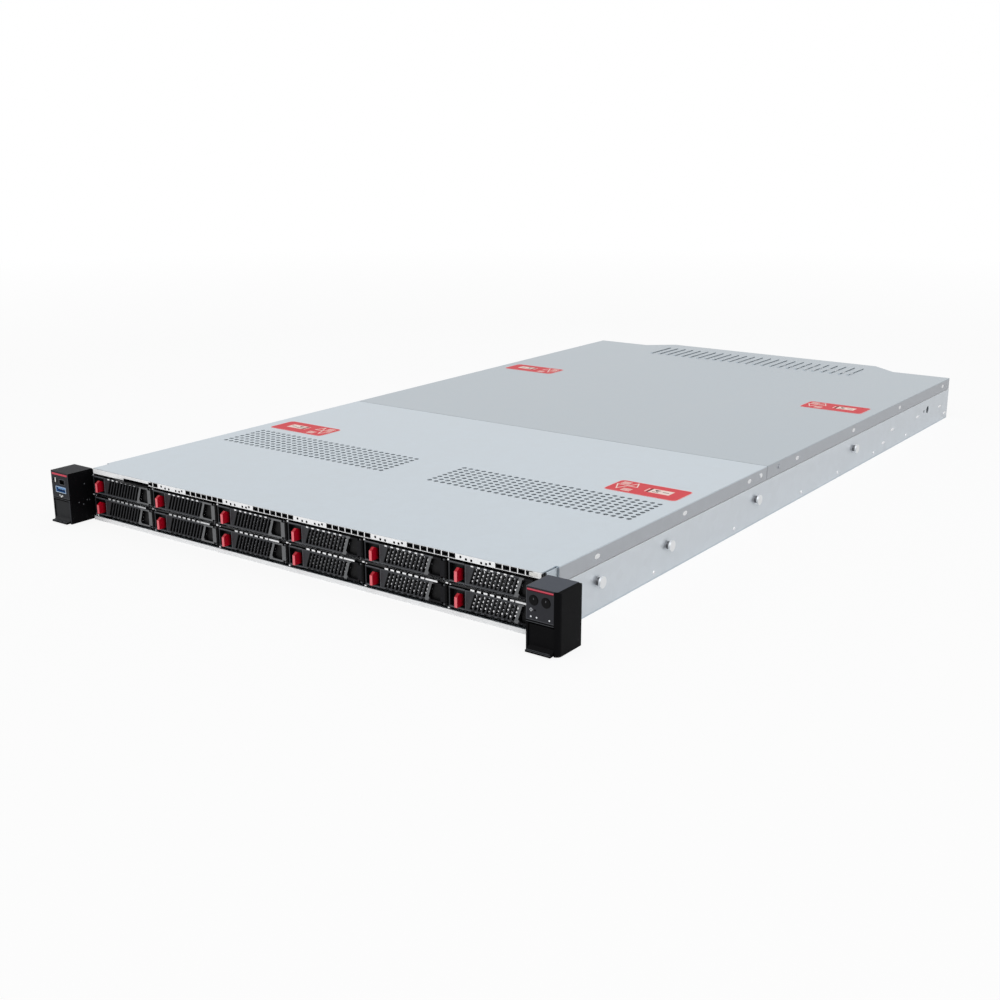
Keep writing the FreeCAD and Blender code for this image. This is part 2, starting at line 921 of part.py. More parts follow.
def carrier_tray():
    floor_top = -tray_drop + carrier_sheet
    back = bezel_front + carrier_length
    front = bezel_back - tray_overlap
    floor = box(carrier_left, carrier_right, front, back, -tray_drop, floor_top)
    upstand_back = bezel_back + carrier_sheet
    upstand = box(carrier_left, carrier_right, bezel_back, upstand_back, -tray_drop, bezel_rim)
    foot = box(carrier_left, carrier_right, front, front + tray_foot, floor_top, 0)
    return fuse([floor, upstand, foot])


def carrier_drive():
    side = carrier_left + drive_side_gap
    front = bezel_back + carrier_travel_room
    low = -tray_drop + carrier_sheet
    body = box(side, carrier_right - drive_side_gap, front, front + drive_length, low, low + drive_height)
    middle = (carrier_left + carrier_right) / 2
    dx = connector_width / 2 - plug_trim
    back = front + drive_length
    plug_low = low + plug_lift
    plug_high = plug_low + connector_height - plug_trim
    plug = box(middle - dx, middle + dx, back, back + plug_length, plug_low, plug_high)
    return fuse([body, plug])


def drive_carrier():
    return [carrier_bezel(), carrier_screen(), carrier_tray(), carrier_drive()]


def carrier_lever():
    right = pivot_x - barrel_radius - lug_gap
    low = lever_edge_gap
    high = bezel_height - lever_edge_gap
    outline = [(lever_start, low), (right, low), (right, high), (lever_start, high)]
    rings = [ring_xz(outline, bezel_front)]
    z0 = grille_edge
    z1 = bezel_height - grille_edge
    for i in range(grille_slots):
        x = grille_start + i * grille_pitch
        low_end = x + grille_slot_width
        slot = [(x, z0), (low_end, z0), (low_end + grille_slant, z1), (x + grille_slant, z1)]
        if low_end + grille_slant < right - window_top_length:
            rings.append(ring_xz(slot, bezel_front))
    edge = right - window_edge
    corner = edge - window_bottom_length
    window = [
        (edge, z0),
        (edge, z1),
        (edge - window_top_length, z1),
        (corner, z0 + window_chamfer),
        (corner + window_chamfer, z0),
    ]
    rings.append(ring_xz(window, bezel_front))
    plate = sheet_from(rings, V(0, lever_thickness, 0))
    low = lug_height + lug_gap
    high = bezel_height - lug_height - lug_gap
    barrel = rod(pivot_x, pivot_y, low, Z_AXIS, barrel_radius, high - low)
    neck = box(right - neck_overlap, pivot_x, bezel_front, lever_back, low, high)
    pin = rod(pivot_x, pivot_y, pivot_recess, Z_AXIS, pivot_radius, bezel_height - 2 * pivot_recess)
    return [fuse([plate, barrel, neck, pin])]


def release_tab():
    mid = bezel_height / 2
    low = mid - tab_height / 2
    high = mid + tab_height / 2
    right = tab_left + tab_thickness
    pocket_back = bezel_front + pocket_depth
    foot_back = pocket_back - tab_gap
    front = bezel_front - tab_reach
    points = [V(tab_left, front, low), V(tab_left, front, high - tab_slant_drop)]
    back_top = high - tab_back_drop
    points += [V(tab_left, front + tab_slant_run, high), V(tab_left, foot_back, back_top)]
    points.append(V(tab_left, foot_back, low))
    fin = Part.Face(Part.makePolygon(points + points[:1])).extrude(V(tab_thickness, 0, 0))
    foot_front = bezel_front + tab_foot_setback
    foot = box(tab_left - tab_foot, right, foot_front, foot_back, low, back_top)
    stem_half = tab_stem_height / 2
    hook_back = bezel_back + carrier_sheet + tab_gap + tab_hook_depth
    stem = box(tab_left, right, foot_back, hook_back, mid - stem_half, mid + stem_half)
    hook_front = hook_back - tab_hook_depth
    hook_half = stem_half + tab_hook_rise
    hook = box(tab_left, right, hook_front, hook_back, mid - hook_half, mid + hook_half)
    return [fuse([fin, foot, stem, hook])]


# Ears, drawn on the right and mirrored for the left

def rounded_block(x0, x1, y0, y1, z0, z1, radius):
    # a box whose front edge at x1 is rounded
    block = box(x0, x1, y0, y1, z0, z1)
    corner = box(x1 - radius, x1 + 1, y0 - 1, y0 + radius, z0 - 1, z1 + 1)
    return block.cut(corner.cut(rod(x1 - radius, y0 + radius, z0 - 1, Z_AXIS, radius, z1 - z0 + 2)))


def ear_shell():
    front = -ear_reach
    shell = rounded_block(ear_inner, half_rack, front, ear_plate_setback, ear_bottom, ear_top, ear_round)
    c = ear_edge_chamfer
    past = half_rack + 1
    corner = [(half_rack - c, ear_top), (past, ear_top), (past, ear_top - c - 1), (half_rack, ear_top - c)]
    back = ear_plate_setback + 1
    shell = shell.cut(prism_xz(corner, front - 1, back))
    cavity_low = ear_divider_bottom + ear_divider_sheet
    left = ear_inner + ear_wall
    face_back = front + ear_wall
    cavity_top = ear_top - ear_wall - c
    cavity_right = half_rack - ear_wall
    upper = rounded_block(left, cavity_right, face_back, back, cavity_low, cavity_top, ear_round - ear_wall)
    right = half_rack - ear_outer_wall
    lower = box(left, right, front - 1, back, ear_bottom - 1, ear_divider_bottom)
    shell = shell.cut(upper).cut(lower)
    blind_depth = latch_pivot_length + latch_pivot_end_gap
    x0 = left - blind_depth
    length = right + blind_depth - x0
    radius = latch_pivot_radius + pivot_clearance
    return shell.cut(rod(x0, latch_pivot_y(), latch_pivot_z(), X_AXIS, radius, length))


def latch_pivot_y():
    return -ear_reach + latch_setback + latch_sheet / 2


def latch_pivot_z():
    return ear_divider_bottom - latch_pivot_drop


def ear_strip():
    face = -ear_reach
    x0 = ear_inner + ear_strip_inner_inset
    x1 = half_rack - ear_round - ear_strip_outer_inset
    low = ear_top - ear_strip_drop
    return box(x0, x1, face - ear_strip_proud, face, low, low + ear_strip_height)


def ear_bracket():
    front = ear_plate_setback
    back = ear_plate_back
    plate = box(ear_inner, half_rack, front, back, ear_bottom, ear_top - ear_edge_chamfer)
    outer = half_body - wall_sheet
    inner = outer - tongue_sheet
    web = box(inner, ear_inner, front, back, tongue_bottom, tongue_top)
    tongue = box(inner, outer, front, tongue_length, tongue_bottom, tongue_top)
    bracket = fuse([plate, web, tongue])
    hole = rod(rack_screw_x, front - 1, rack_screw_z, Y_AXIS, rack_screw_hole, ear_plate + 2)
    return bracket.cut(hole)


def button_bores():
    radius = button_radius + button_clearance
    x_places = (half_rack - power_button_inset, half_rack - id_button_inset)
    return [rod(x, -ear_reach - 1, button_z, Y_AXIS, radius, ear_wall + 2) for x in x_places]


def right_ear():
    shell = ear_shell()
    for bore in button_bores():
        shell = shell.cut(bore)
    return [shell, ear_bracket(), ear_strip()]


def socket_cuts():
    y = -ear_reach - 1
    usb_x = half_rack - usb_inset
    display_x = half_rack - display_inset
    usb = prism_xz(rect(usb_x, usb_z, usb_width, usb_height), y, y + ear_wall + 2)
    display = prism_xz(rect(display_x, display_z, display_width, display_height), y, y + ear_wall + 2)
    jack = rod(half_rack - jack_inset, y, jack_z, Y_AXIS, jack_radius, ear_wall + 2)
    return [usb, display, jack]


def front_socket(x, z, width, height, tongue):
    y0 = -ear_reach + socket_recess
    shell_width = width - socket_play
    shell_height = height - socket_play
    body = prism_xz(rect(x, z, shell_width, shell_height), y0, y0 + socket_body)
    mouth_width = shell_width - 2 * socket_wall
    mouth_height = shell_height - 2 * socket_wall
    mouth = prism_xz(rect(x, z, mouth_width, mouth_height), y0 - 1, y0 + socket_depth)
    body = body.cut(mouth)
    blade_width = mouth_width - 2 * tongue_side_gap
    blade_outline = rect(x, z + tongue / 2, blade_width, tongue)
    blade = prism_xz(blade_outline, y0 + tongue_setback, y0 + socket_depth + 1)
    return fuse([body, blade])


def left_ear():
    shell = ear_shell()
    for cut in socket_cuts():
        shell = shell.cut(cut)
    usb = front_socket(half_rack - usb_inset, usb_z, usb_width, usb_height, usb_tongue)
    display_x = half_rack - display_inset
    display = front_socket(display_x, display_z, display_width, display_height, display_tongue)
    y0 = -ear_reach + jack_setback
    jack = rod(half_rack - jack_inset, y0, jack_z, Y_AXIS, jack_radius - jack_play, socket_body)
    return [mirror_x(s) for s in (shell, ear_bracket(), ear_strip(), usb, display, jack)]


def ear_latch():
    left = ear_inner + ear_wall + latch_gap
    right = half_rack - ear_outer_wall - latch_gap
    face = -ear_reach + latch_setback
    back = face + latch_sheet
    low = ear_bottom + latch_rise
    pivot_y0 = latch_pivot_y()
    pivot_z0 = latch_pivot_z()
    plate = box(left, right, face, back, low, pivot_z0)
    crown = rod(left, pivot_y0, pivot_z0, X_AXIS, latch_sheet / 2, right - left)
    lip = box(left, right, -latch_lip_reach, face, low, low + latch_lip_sheet)
    lip_top = low + latch_lip_sheet
    points = [(face, lip_top), (face - latch_ramp, lip_top), (face, lip_top + latch_ramp)]
    ramp_corners = [V(left, y, z) for y, z in points]
    ramp = Part.Face(Part.makePolygon(ramp_corners + ramp_corners[:1])).extrude(V(right - left, 0, 0))
    x0 = left - latch_gap - latch_pivot_length
    pin_length = right - left + 2 * (latch_gap + latch_pivot_length)
    pin = rod(x0, pivot_y0, pivot_z0, X_AXIS, latch_pivot_radius, pin_length)
    return [fuse([plate, crown, lip, ramp, pin])]


def rack_screw():
    x = rack_screw_x
    z = rack_screw_z
    head_y = -rack_screw_head_gap - rack_screw_head_length
    thread_y = ear_plate_back + rack_screw_gap
    head = rod(x, head_y, z, Y_AXIS, rack_screw_head, rack_screw_head_length)
    half_slot = rack_screw_slot_width / 2
    slot_back = head_y + rack_screw_slot_depth
    r = rack_screw_head
    slot = box(x - r, x + r, head_y - 1, slot_back, z - half_slot, z + half_slot)
    neck = rod(x, -rack_screw_head_gap, z, Y_AXIS, rack_screw_neck, rack_screw_head_gap + thread_y)
    thread = rod(x, thread_y, z, Y_AXIS, rack_screw_radius, rack_screw_reach)
    return [fuse([head.cut(slot), neck, thread])]


def button(inset):
    x = half_rack - inset
    front = -ear_reach - button_proud
    cap = rod(x, front, button_z, Y_AXIS, button_radius, button_length)
    flange_y = -ear_reach + ear_wall + button_flange_gap
    radius = button_radius + button_flange
    collar = rod(x, flange_y, button_z, Y_AXIS, radius, button_flange_sheet)
    return [fuse([cap, collar])]


def label_tab():
    right = label_left + label_width
    front = -label_reach
    back = label_length
    middle = label_left + label_width / 2
    outline = [
        V(label_left, back, label_bottom),
        V(label_left, front + label_corner, label_bottom),
        V(middle, front, label_bottom),
        V(right, front + label_corner, label_bottom),
        V(right, back, label_bottom),
    ]
    nose = Part.Arc(outline[1], outline[2], outline[3]).toShape()
    edges = [
        Part.makeLine(outline[0], outline[1]),
        nose,
        Part.makeLine(outline[3], outline[4]),
        Part.makeLine(outline[4], outline[0]),
    ]
    x0 = middle - label_slot_width / 2
    x1 = middle + label_slot_width / 2
    y0 = front + label_slot_inset
    y1 = y0 + label_slot_depth
    slot = ring_xy([(x0, y0), (x1, y0), (x1, y1), (x0, y1)], label_bottom)
    return [sheet_from([Part.Wire(edges), slot], V(0, 0, label_sheet))]


# Fans

def fan_x(index):
    return (index - (fan_count - 1) / 2) * fan_pitch


def fan_axis_z():
    return fan_bottom + fan_height / 2


def fan_housing(x):
    z = fan_axis_z()
    y = fan_front
    rings = [ring_xz(rect(x, z, fan_width, fan_height), y), circle(V(x, y, z), Y_AXIS, fan_bore)]
    case = sheet_from(rings, V(0, fan_length, 0))
    spider_y = fan_front + rotor_setback + rotor_length + spider_gap
    hub = rod(x, spider_y, z, Y_AXIS, fan_hub_radius, spider_sheet)
    reach = fan_bore + spider_overlap
    arms = [hub]
    for dx, dz in ((reach, spider_arm / 2), (spider_arm / 2, reach)):
        arms.append(box(x - dx, x + dx, spider_y, spider_y + spider_sheet, z - dz, z + dz))
    bore = rod(x, spider_y - 1, z, Y_AXIS, spindle_radius + spindle_clearance, spider_sheet + 2)
    return fuse([case] + arms).cut(bore)


def fan_housings():
    solids = [fan_housing(fan_x(i)) for i in range(fan_count)]
    top = fan_bottom + fan_height
    y = fan_front + baffle_setback
    edge = fan_width / 2
    for i in range(fan_count - 1):
        left = fan_x(i) + edge
        right = fan_x(i + 1) - edge
        solids.append(box(left, right, y, y + baffle_sheet, tray_sheet, top))
    outer = upper_wall_inner - baffle_gap
    start = fan_x(fan_count - 1) + edge
    end_baffle = box(start, outer, y, y + baffle_sheet, tray_sheet, top)
    feet = []
    for i in range(fan_count):
        x = fan_x(i)
        foot = box(x - edge, x + edge, fan_front, fan_front + fan_length, tray_sheet, fan_bottom)
        feet.append(foot)
    return solids + both_sides(end_baffle) + feet


def fan_blade(z, y, angle):
    root = fan_hub_radius - blade_root_overlap
    tip = fan_bore - fan_tip_gap
    blade = box(-blade_sheet / 2, blade_sheet / 2, -blade_length / 2, blade_length / 2, root, tip)
    blade.rotate(V(0, 0, 0), Z_AXIS, blade_pitch_deg)
    blade = blade.common(rod(0, -rotor_length, 0, Y_AXIS, tip, 2 * rotor_length))
    blade.rotate(V(0, 0, 0), Y_AXIS, angle)
    blade.translate(V(0, y, z))
    return blade


def fan_rotor():
    z = fan_axis_z()
    y = fan_front + rotor_setback
    hub = rod(0, y, z, Y_AXIS, fan_hub_radius, rotor_length)
    middle = y + rotor_length / 2
    blades = [fan_blade(z, middle, i * 360 / fan_blades) for i in range(fan_blades)]
    spindle = rod(0, y + rotor_length, z, Y_AXIS, spindle_radius, spider_gap + spider_sheet)
    return fuse([hub, spindle] + blades)


# Mainboard

def main_board():
    wide = mainboard_half
    narrow = supply_wall - wall_sheet - mainboard_wall_gap
    step = supply_front - mainboard_supply_gap
    back = slope_y(supply_wall) - mainboard_rear_gap
    right = [(wide, mainboard_front), (wide, step), (narrow, step), (narrow, back)]
    outline = right + [(-x, y) for x, y in reversed(right)]
    board = prism_xy(outline, mainboard_bottom, pcb_top)
    posts = []
    reach = narrow - standoff_inset
    height = mainboard_bottom - tray_sheet
    for x in (-reach, 0, reach):
        for y in standoff_y:
            posts.append(rod(x, y, tray_sheet, Z_AXIS, standoff_radius, height))
    return [board] + posts


def heat_sink(side):
    x = side * sink_x
    left = x - sink_width / 2
    right = x + sink_width / 2
    back = sink_front + sink_length
    z0 = pcb_top + sink_socket_height
    half = sink_socket_width / 2
    inset = sink_socket_inset
    socket = box(x - half, x + half, sink_front + inset, back - inset, pcb_top, z0)
    top = z0 + sink_height
    floor = z0 + sink_base
    pitch = (sink_width - sink_fin_sheet) / (sink_fins - 1)
    points = [(left, z0), (right, z0), (right, top)]
    for i in range(sink_fins - 1, 0, -1):
        fin = left + i * pitch
        next_fin = fin - pitch + sink_fin_sheet
        points += [(fin, top), (fin, floor), (next_fin, floor), (next_fin, top)]
    points.append((left, top))
    sink = prism_xz(points, sink_front, back)
    return [socket, sink]


def memory_bank(x_start):
    front = memory_front - memory_socket_end
    back = memory_front + memory_length
    low = pcb_top + memory_socket_height
    top = low + memory_height - memory_sunk
    end = x_start + memory_width
    socket = box(x_start, end, front, back + memory_socket_end, pcb_top, low)
    solids = [socket]
    for i in range(memory_per_bank):
        x0 = x_start + (i + 0.5) * memory_pitch - (memory_bank_gap + memory_sheet) / 2
        solids.append(box(x0, x0 + memory_sheet, memory_front, back, low, top))
    return solids


def memory():
    near = memory_side_gap
    far = sink_x + sink_width / 2 + memory_side_gap
    solids = []
    for x in (near, far, -near - memory_width, -far - memory_width):
        solids += memory_bank(x)
    return solids


def riser(side):
    back = slope_y(supply_wall) - riser_rear_gap
    x = side * riser_x - board_sheet / 2
    return box(x, x + board_sheet, back - riser_length, back, pcb_top, pcb_top + riser_height)


def socket_block(x, width, height, depth, mouth):
    back = rear_end
    block = box(x - width / 2, x + width / 2, back - depth, back, pcb_top, pcb_top + height)
    mouth_width, mouth_height, mouth_depth, lift = mouth
    z0 = pcb_top + lift
    dx = mouth_width / 2
    hollow = box(x - dx, x + dx, back - mouth_depth, back + 1, z0, z0 + mouth_height)
    return block.cut(hollow)


def rear_socket_blocks():
    lift = (network_height - network_mouth_height) / 2
    mouth = (network_mouth_width, network_mouth_height, network_mouth_depth, lift)
    blocks = [socket_block(x, network_width, network_height, network_depth, mouth) for x in network_x]
    inner = (fibre_width - 2 * fibre_wall, fibre_height - 2 * fibre_wall)
    mouth = (inner[0], inner[1], fibre_depth - fibre_wall, fibre_wall)
    blocks += [socket_block(x, fibre_width, fibre_height, fibre_depth, mouth) for x in fibre_x]
    slot_width = serial_bus_width - 2 * serial_bus_wall
    mouth = (slot_width, serial_bus_mouth, serial_bus_depth / 2, serial_bus_edge)
    bus = socket_block(serial_bus_x, serial_bus_width, serial_bus_height, serial_bus_depth, mouth)
    dx = slot_width / 2
    z0 = pcb_top + serial_bus_height - serial_bus_edge - serial_bus_mouth
    y0 = rear_end - serial_bus_depth / 2
    second = box(serial_bus_x - dx, serial_bus_x + dx, y0, rear_end + 1, z0, z0 + serial_bus_mouth)
    blocks.append(bus.cut(second))
    return blocks


def video_socket():
    z = pcb_top + video_height / 2
    back = rear_end
    plate_y = back - video_flange_sheet
    plate = prism_xz(rect(video_x, z, video_width, video_height), plate_y, back - video_shell_proud)
    half = video_body_width / 2
    top = pcb_top + video_height - video_body_drop
    body = box(video_x - half, video_x + half, back - video_body_depth, plate_y, pcb_top, top)
    w = video_shell_width / 2
    h = video_shell_height / 2
    foot = w - video_shell_slope
    shell = [(-foot, -h), (foot, -h), (w, h), (-w, h)]
    outline = [(video_x + dx, z + dz) for dx, dz in shell]
    return fuse([plate, body, prism_xz(outline, plate_y, back)])


def mainboard():
    solids = main_board() + heat_sink(-1) + heat_sink(1) + memory()
    solids += [riser(-1), riser(1)] + rear_socket_blocks() + [video_socket()]
    return solids


# Power supplies, drawn on the right and mirrored for the left

def supply_room(top):
    left = supply_inner + supply_sheet
    right = supply_outer - supply_sheet
    back = supply_back - inlet_depth - supply_sheet
    low = supply_bottom + supply_sheet
    room = box(left, right, supply_front + supply_sheet, back, low, top - supply_sheet)
    middle = (left + right) / 2
    dx = supply_edge_slot / 2
    z0 = low + supply_slot_lift
    z1 = z0 + supply_slot_height
    slot = box(middle - dx, middle + dx, supply_front - 1, supply_front + 2 * supply_sheet, z0, z1)
    return room.fuse(slot)


def supply_case():
    top = supply_bottom + supply_height
    case = box(supply_inner, supply_outer, supply_front, supply_back, supply_bottom, top)
    case = case.cut(supply_room(top))
    x = supply_inner + inlet_inset
    z = supply_bottom + supply_height / 2
    c = inlet_chamfer
    w = inlet_width / 2
    h = inlet_height / 2
    shoulders = [(w, h - c), (w - c, h), (c - w, h), (-w, h - c)]
    corners = [(-w, -h), (w, -h)] + shoulders
    outline = [(x + dx, z + dz) for dx, dz in corners]
    case = case.cut(prism_xz(outline, supply_back - inlet_depth, supply_back + 1))
    y0 = supply_back - inlet_depth - inlet_pin_root
    y1 = supply_back - inlet_pin_setback
    for dx, dz in inlet_pins:
        pin = rect(x + dx, z + dz, inlet_pin_sheet, inlet_pin_width)
        case = case.fuse(prism_xz(pin, y0, y1))
    return case.cut(fuse(supply_vents()))


def supply_vents():
    left = supply_inner + inlet_inset + inlet_width / 2 + supply_vent_lead
    right = supply_outer - supply_vent_edge
    columns = int((right - left) / supply_vent_pitch)
    rows = int((supply_height - 2 * supply_vent_edge) / supply_vent_pitch)
    y = supply_back - 2 * supply_sheet
    holes = []
    for i in range(columns):
        for j in range(rows):
            x = left + (i + 0.5) * supply_vent_pitch
            z = supply_bottom + supply_vent_edge + (j + 0.5) * supply_vent_pitch
            holes.append(rod(x, y, z, Y_AXIS, supply_vent_radius, 3 * supply_sheet))
    return holes


def supply_handle():
    x0 = supply_outer - handle_inset - handle_width / 2
    x1 = x0 + handle_width
    z = supply_bottom + supply_height / 2
    low = z - handle_height / 2
    high = z + handle_height / 2
    y1 = supply_back + handle_reach
    t = handle_thick
    grip = box(x0, x1, y1 - t, y1, low, high)
    arms = [box(x0, x1, supply_back, y1 - t, z0, z0 + t) for z0 in (low, high - t)]
    return fuse([grip] + arms)


def power_supply():
    return [supply_case(), supply_handle()]


# Fasteners

def rail_stud(y):
    neck = rod(half_body, y, stud_z, X_AXIS, stud_neck_radius, stud_neck_length)
    head = rod(half_body + stud_neck_length, y, stud_z, X_AXIS, stud_head_radius, stud_head_length)
    return fuse([neck, head])


def side_screw(y, length):
    head = rod(cover_outer, y, side_screw_z, X_AXIS, side_screw_radius, side_screw_head)
    radius = side_screw_hole - side_screw_clearance
    shank = rod(cover_outer - length, y, side_screw_z, X_AXIS, radius, length)
    return fuse([head, shank])


def fasteners():
    solids = []
    for y in stud_y:
        solids += both_sides(rail_stud(y))
    length = cover_outer - upper_wall_inner + side_screw_past
    for y in side_screw_y:
        if y < cover_split:
            solids += both_sides(side_screw(y, length))
    return solids


def place(shape):
    moved = shape.copy()
    moved.translate(V(0, -mid_length, 0))
    return moved


def write(name, solids):
    Part.makeCompound([place(s) for s in solids]).exportStep(os.path.join("parts", name + ".step"))


def write_at(name, solids, offset):
    moved = []
    for solid in solids:
        copy = solid.copy()
        copy.translate(offset)
        moved.append(copy)
    write(name, moved)


def main():
    os.makedirs("parts", exist_ok=True)
    write("chassis_tray", chassis_tray())
    write("front_cover", front_cover())
    write("rear_cover", rear_cover())
    write("drive_cage", drive_cage())
    write("drive_backplane", drive_backplane())
    carrier = drive_carrier()
    lever = carrier_lever()
    tab = release_tab()
    for index in range(2 * bay_columns):
        number = "%02d" % (index + 1)
        write_at("drive_carrier_" + number, carrier, bay_place(index))
        write_at("carrier_lever_" + number, lever, bay_place(index))
        write_at("release_tab_" + number, tab, bay_place(index))
    write("right_ear", right_ear())
    write("left_ear", left_ear())
    write("right_ear_latch", ear_latch())
    write("left_ear_latch", [mirror_x(s) for s in ear_latch()])
    write("right_rack_screw", rack_screw())
    write("left_rack_screw", [mirror_x(s) for s in rack_screw()])
    write("power_button", button(power_button_inset))
    write("id_button", button(id_button_inset))
    write("label_tab", label_tab())
    write("fan_housings", fan_housings())
    rotor = fan_rotor()
    for index in range(fan_count):
        write_at("fan_rotor_%d" % (index + 1), [rotor], V(fan_x(index), 0, 0))
    write("mainboard", mainboard())
    write("right_power_supply", power_supply())
    write("left_power_supply", [mirror_x(s) for s in power_supply()])
    write("fasteners", fasteners())


main()
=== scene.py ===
import math
import bpy
import bmesh
from mathutils import Matrix, Vector


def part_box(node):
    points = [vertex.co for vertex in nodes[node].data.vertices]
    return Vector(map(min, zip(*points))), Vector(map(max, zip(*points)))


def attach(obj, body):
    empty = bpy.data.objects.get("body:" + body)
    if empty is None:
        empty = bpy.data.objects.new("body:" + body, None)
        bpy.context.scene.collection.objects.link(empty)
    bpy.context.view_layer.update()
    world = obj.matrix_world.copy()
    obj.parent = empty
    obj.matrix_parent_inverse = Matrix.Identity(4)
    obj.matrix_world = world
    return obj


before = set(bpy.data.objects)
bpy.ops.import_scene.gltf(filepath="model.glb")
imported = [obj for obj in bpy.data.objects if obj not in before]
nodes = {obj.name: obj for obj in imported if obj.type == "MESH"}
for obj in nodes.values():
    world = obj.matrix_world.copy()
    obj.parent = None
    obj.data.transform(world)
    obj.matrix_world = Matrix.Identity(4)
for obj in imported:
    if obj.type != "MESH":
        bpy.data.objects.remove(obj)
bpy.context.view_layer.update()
print("frame loaded:", len(nodes), "nodes")

# Places are in millimetres: x from the middle, y back from the front flange, z from the floor
millimetre = 0.001
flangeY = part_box("front_cover")[0].y
bayCount = 12
bayColumns = 6
rightward = Vector((1, 0, 0))
backward = Vector((0, 1, 0))
upward = Vector((0, 0, 1))


def at(x, y, z):
    return Vector((x * millimetre, flangeY + y * millimetre, z * millimetre))


def boxOf(node):
    # a node's corners in millimetres, measured as above
    low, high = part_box(node)
    shift = Vector((0, flangeY, 0))
    return (low - shift) / millimetre, (high - shift) / millimetre


def around(middle, size):
    return middle - size / 2, middle + size / 2


def shifted(pair, by):
    return [by + value for value in pair]


def numbered(name, index):
    return "%s_%02d" % (name, index + 1)


# Shader maths: one wire is one socket, and sums on it add Math nodes

class Wire:
    def __init__(self, shader, socket):
        self.shader = shader
        self.socket = socket

    def maths(self, operation, first, second):
        return self.shader.node("ShaderNodeMath", {"operation": operation}, [first, second])

    def __add__(self, other):
        return self.maths("ADD", self, other)

    def __radd__(self, other):
        return self.maths("ADD", other, self)

    def __sub__(self, other):
        return self.maths("SUBTRACT", self, other)

    def __rsub__(self, other):
        return self.maths("SUBTRACT", other, self)

    def __mul__(self, other):
        return self.maths("MULTIPLY", self, other)

    def __rmul__(self, other):
        return self.maths("MULTIPLY", other, self)

    def __mod__(self, other):
        return self.maths("FLOORED_MODULO", self, other)

    def __gt__(self, other):
        return self.maths("GREATER_THAN", self, other)

    def __lt__(self, other):
        return self.maths("LESS_THAN", self, other)

    def __abs__(self):
        return self.maths("ABSOLUTE", self, 0.0)


class Shader:
    def __init__(self, name, store=bpy.data.materials):
        self.owner = store.new(name)
        self.owner.use_nodes = True
        self.tree = self.owner.node_tree
        self.tree.nodes.clear()

    def node(self, kind, settings=None, inputs=(), output=0):
        made = self.tree.nodes.new(kind)
        for key, value in (settings or {}).items():
            setattr(made, key, value)
        pairs = inputs.items() if isinstance(inputs, dict) else enumerate(inputs)
        for key, value in pairs:
            if isinstance(value, Wire):
                self.tree.links.new(value.socket, made.inputs[key])
            else:
                made.inputs[key].default_value = value
        return Wire(self, made.outputs[output]) if made.outputs else None

    def objectPoint(self):
        return self.node("ShaderNodeTexCoord", None, (), "Object")

    def split(self, vector):
        first = self.node("ShaderNodeSeparateXYZ", None, [vector])
        return [Wire(self, out) for out in first.socket.node.outputs]

    def place(self):
        # x, y and z in millimetres, measured as at() measures them
        x, y, z = self.split(self.objectPoint())
        return x * 1000, (y - flangeY) * 1000, z * 1000

    def rising(self, value, low, high):
        # 0 below low, 1 above high
        values = {"Value": value, "From Min": low, "From Max": high}
        return self.node("ShaderNodeMapRange", None, values)

    def mix(self, factor, plain, other):
        return self.node("ShaderNodeMix", {"data_type": "RGBA"}, {0: factor, 6: plain, 7: other}, 2)

    def noise(self, scale, detail=2.0, stretch=(1, 1, 1)):
        values = {"Vector": self.objectPoint(), "Scale": stretch}
        point = self.node("ShaderNodeMapping", None, values)
        values = {"Vector": point, "Scale": scale, "Detail": detail}
        return self.node("ShaderNodeTexNoise", None, values)

    def bump(self, height, distance, strength=1.0):
        values = {"Height": height, "Distance": distance, "Strength": strength}
        return self.node("ShaderNodeBump", None, values)

    def finish(self, colour, roughness, metallic=0.0, **others):
        values = {"Base Color": colour, "Roughness": roughness, "Metallic": metallic}
        values.update({key.replace("_", " "): value for key, value in others.items()})
        surface = self.node("ShaderNodeBsdfPrincipled", None, values)
        self.node("ShaderNodeOutputMaterial", None, {"Surface": surface})
        return self.owner


def band(value, low, high):
    return (value > low) * (value < high)


def either(first, second):
    return first.maths("MAXIMUM", first, second)


def colour(red, green, blue):
    return (red, green, blue, 1.0)


# Finishes

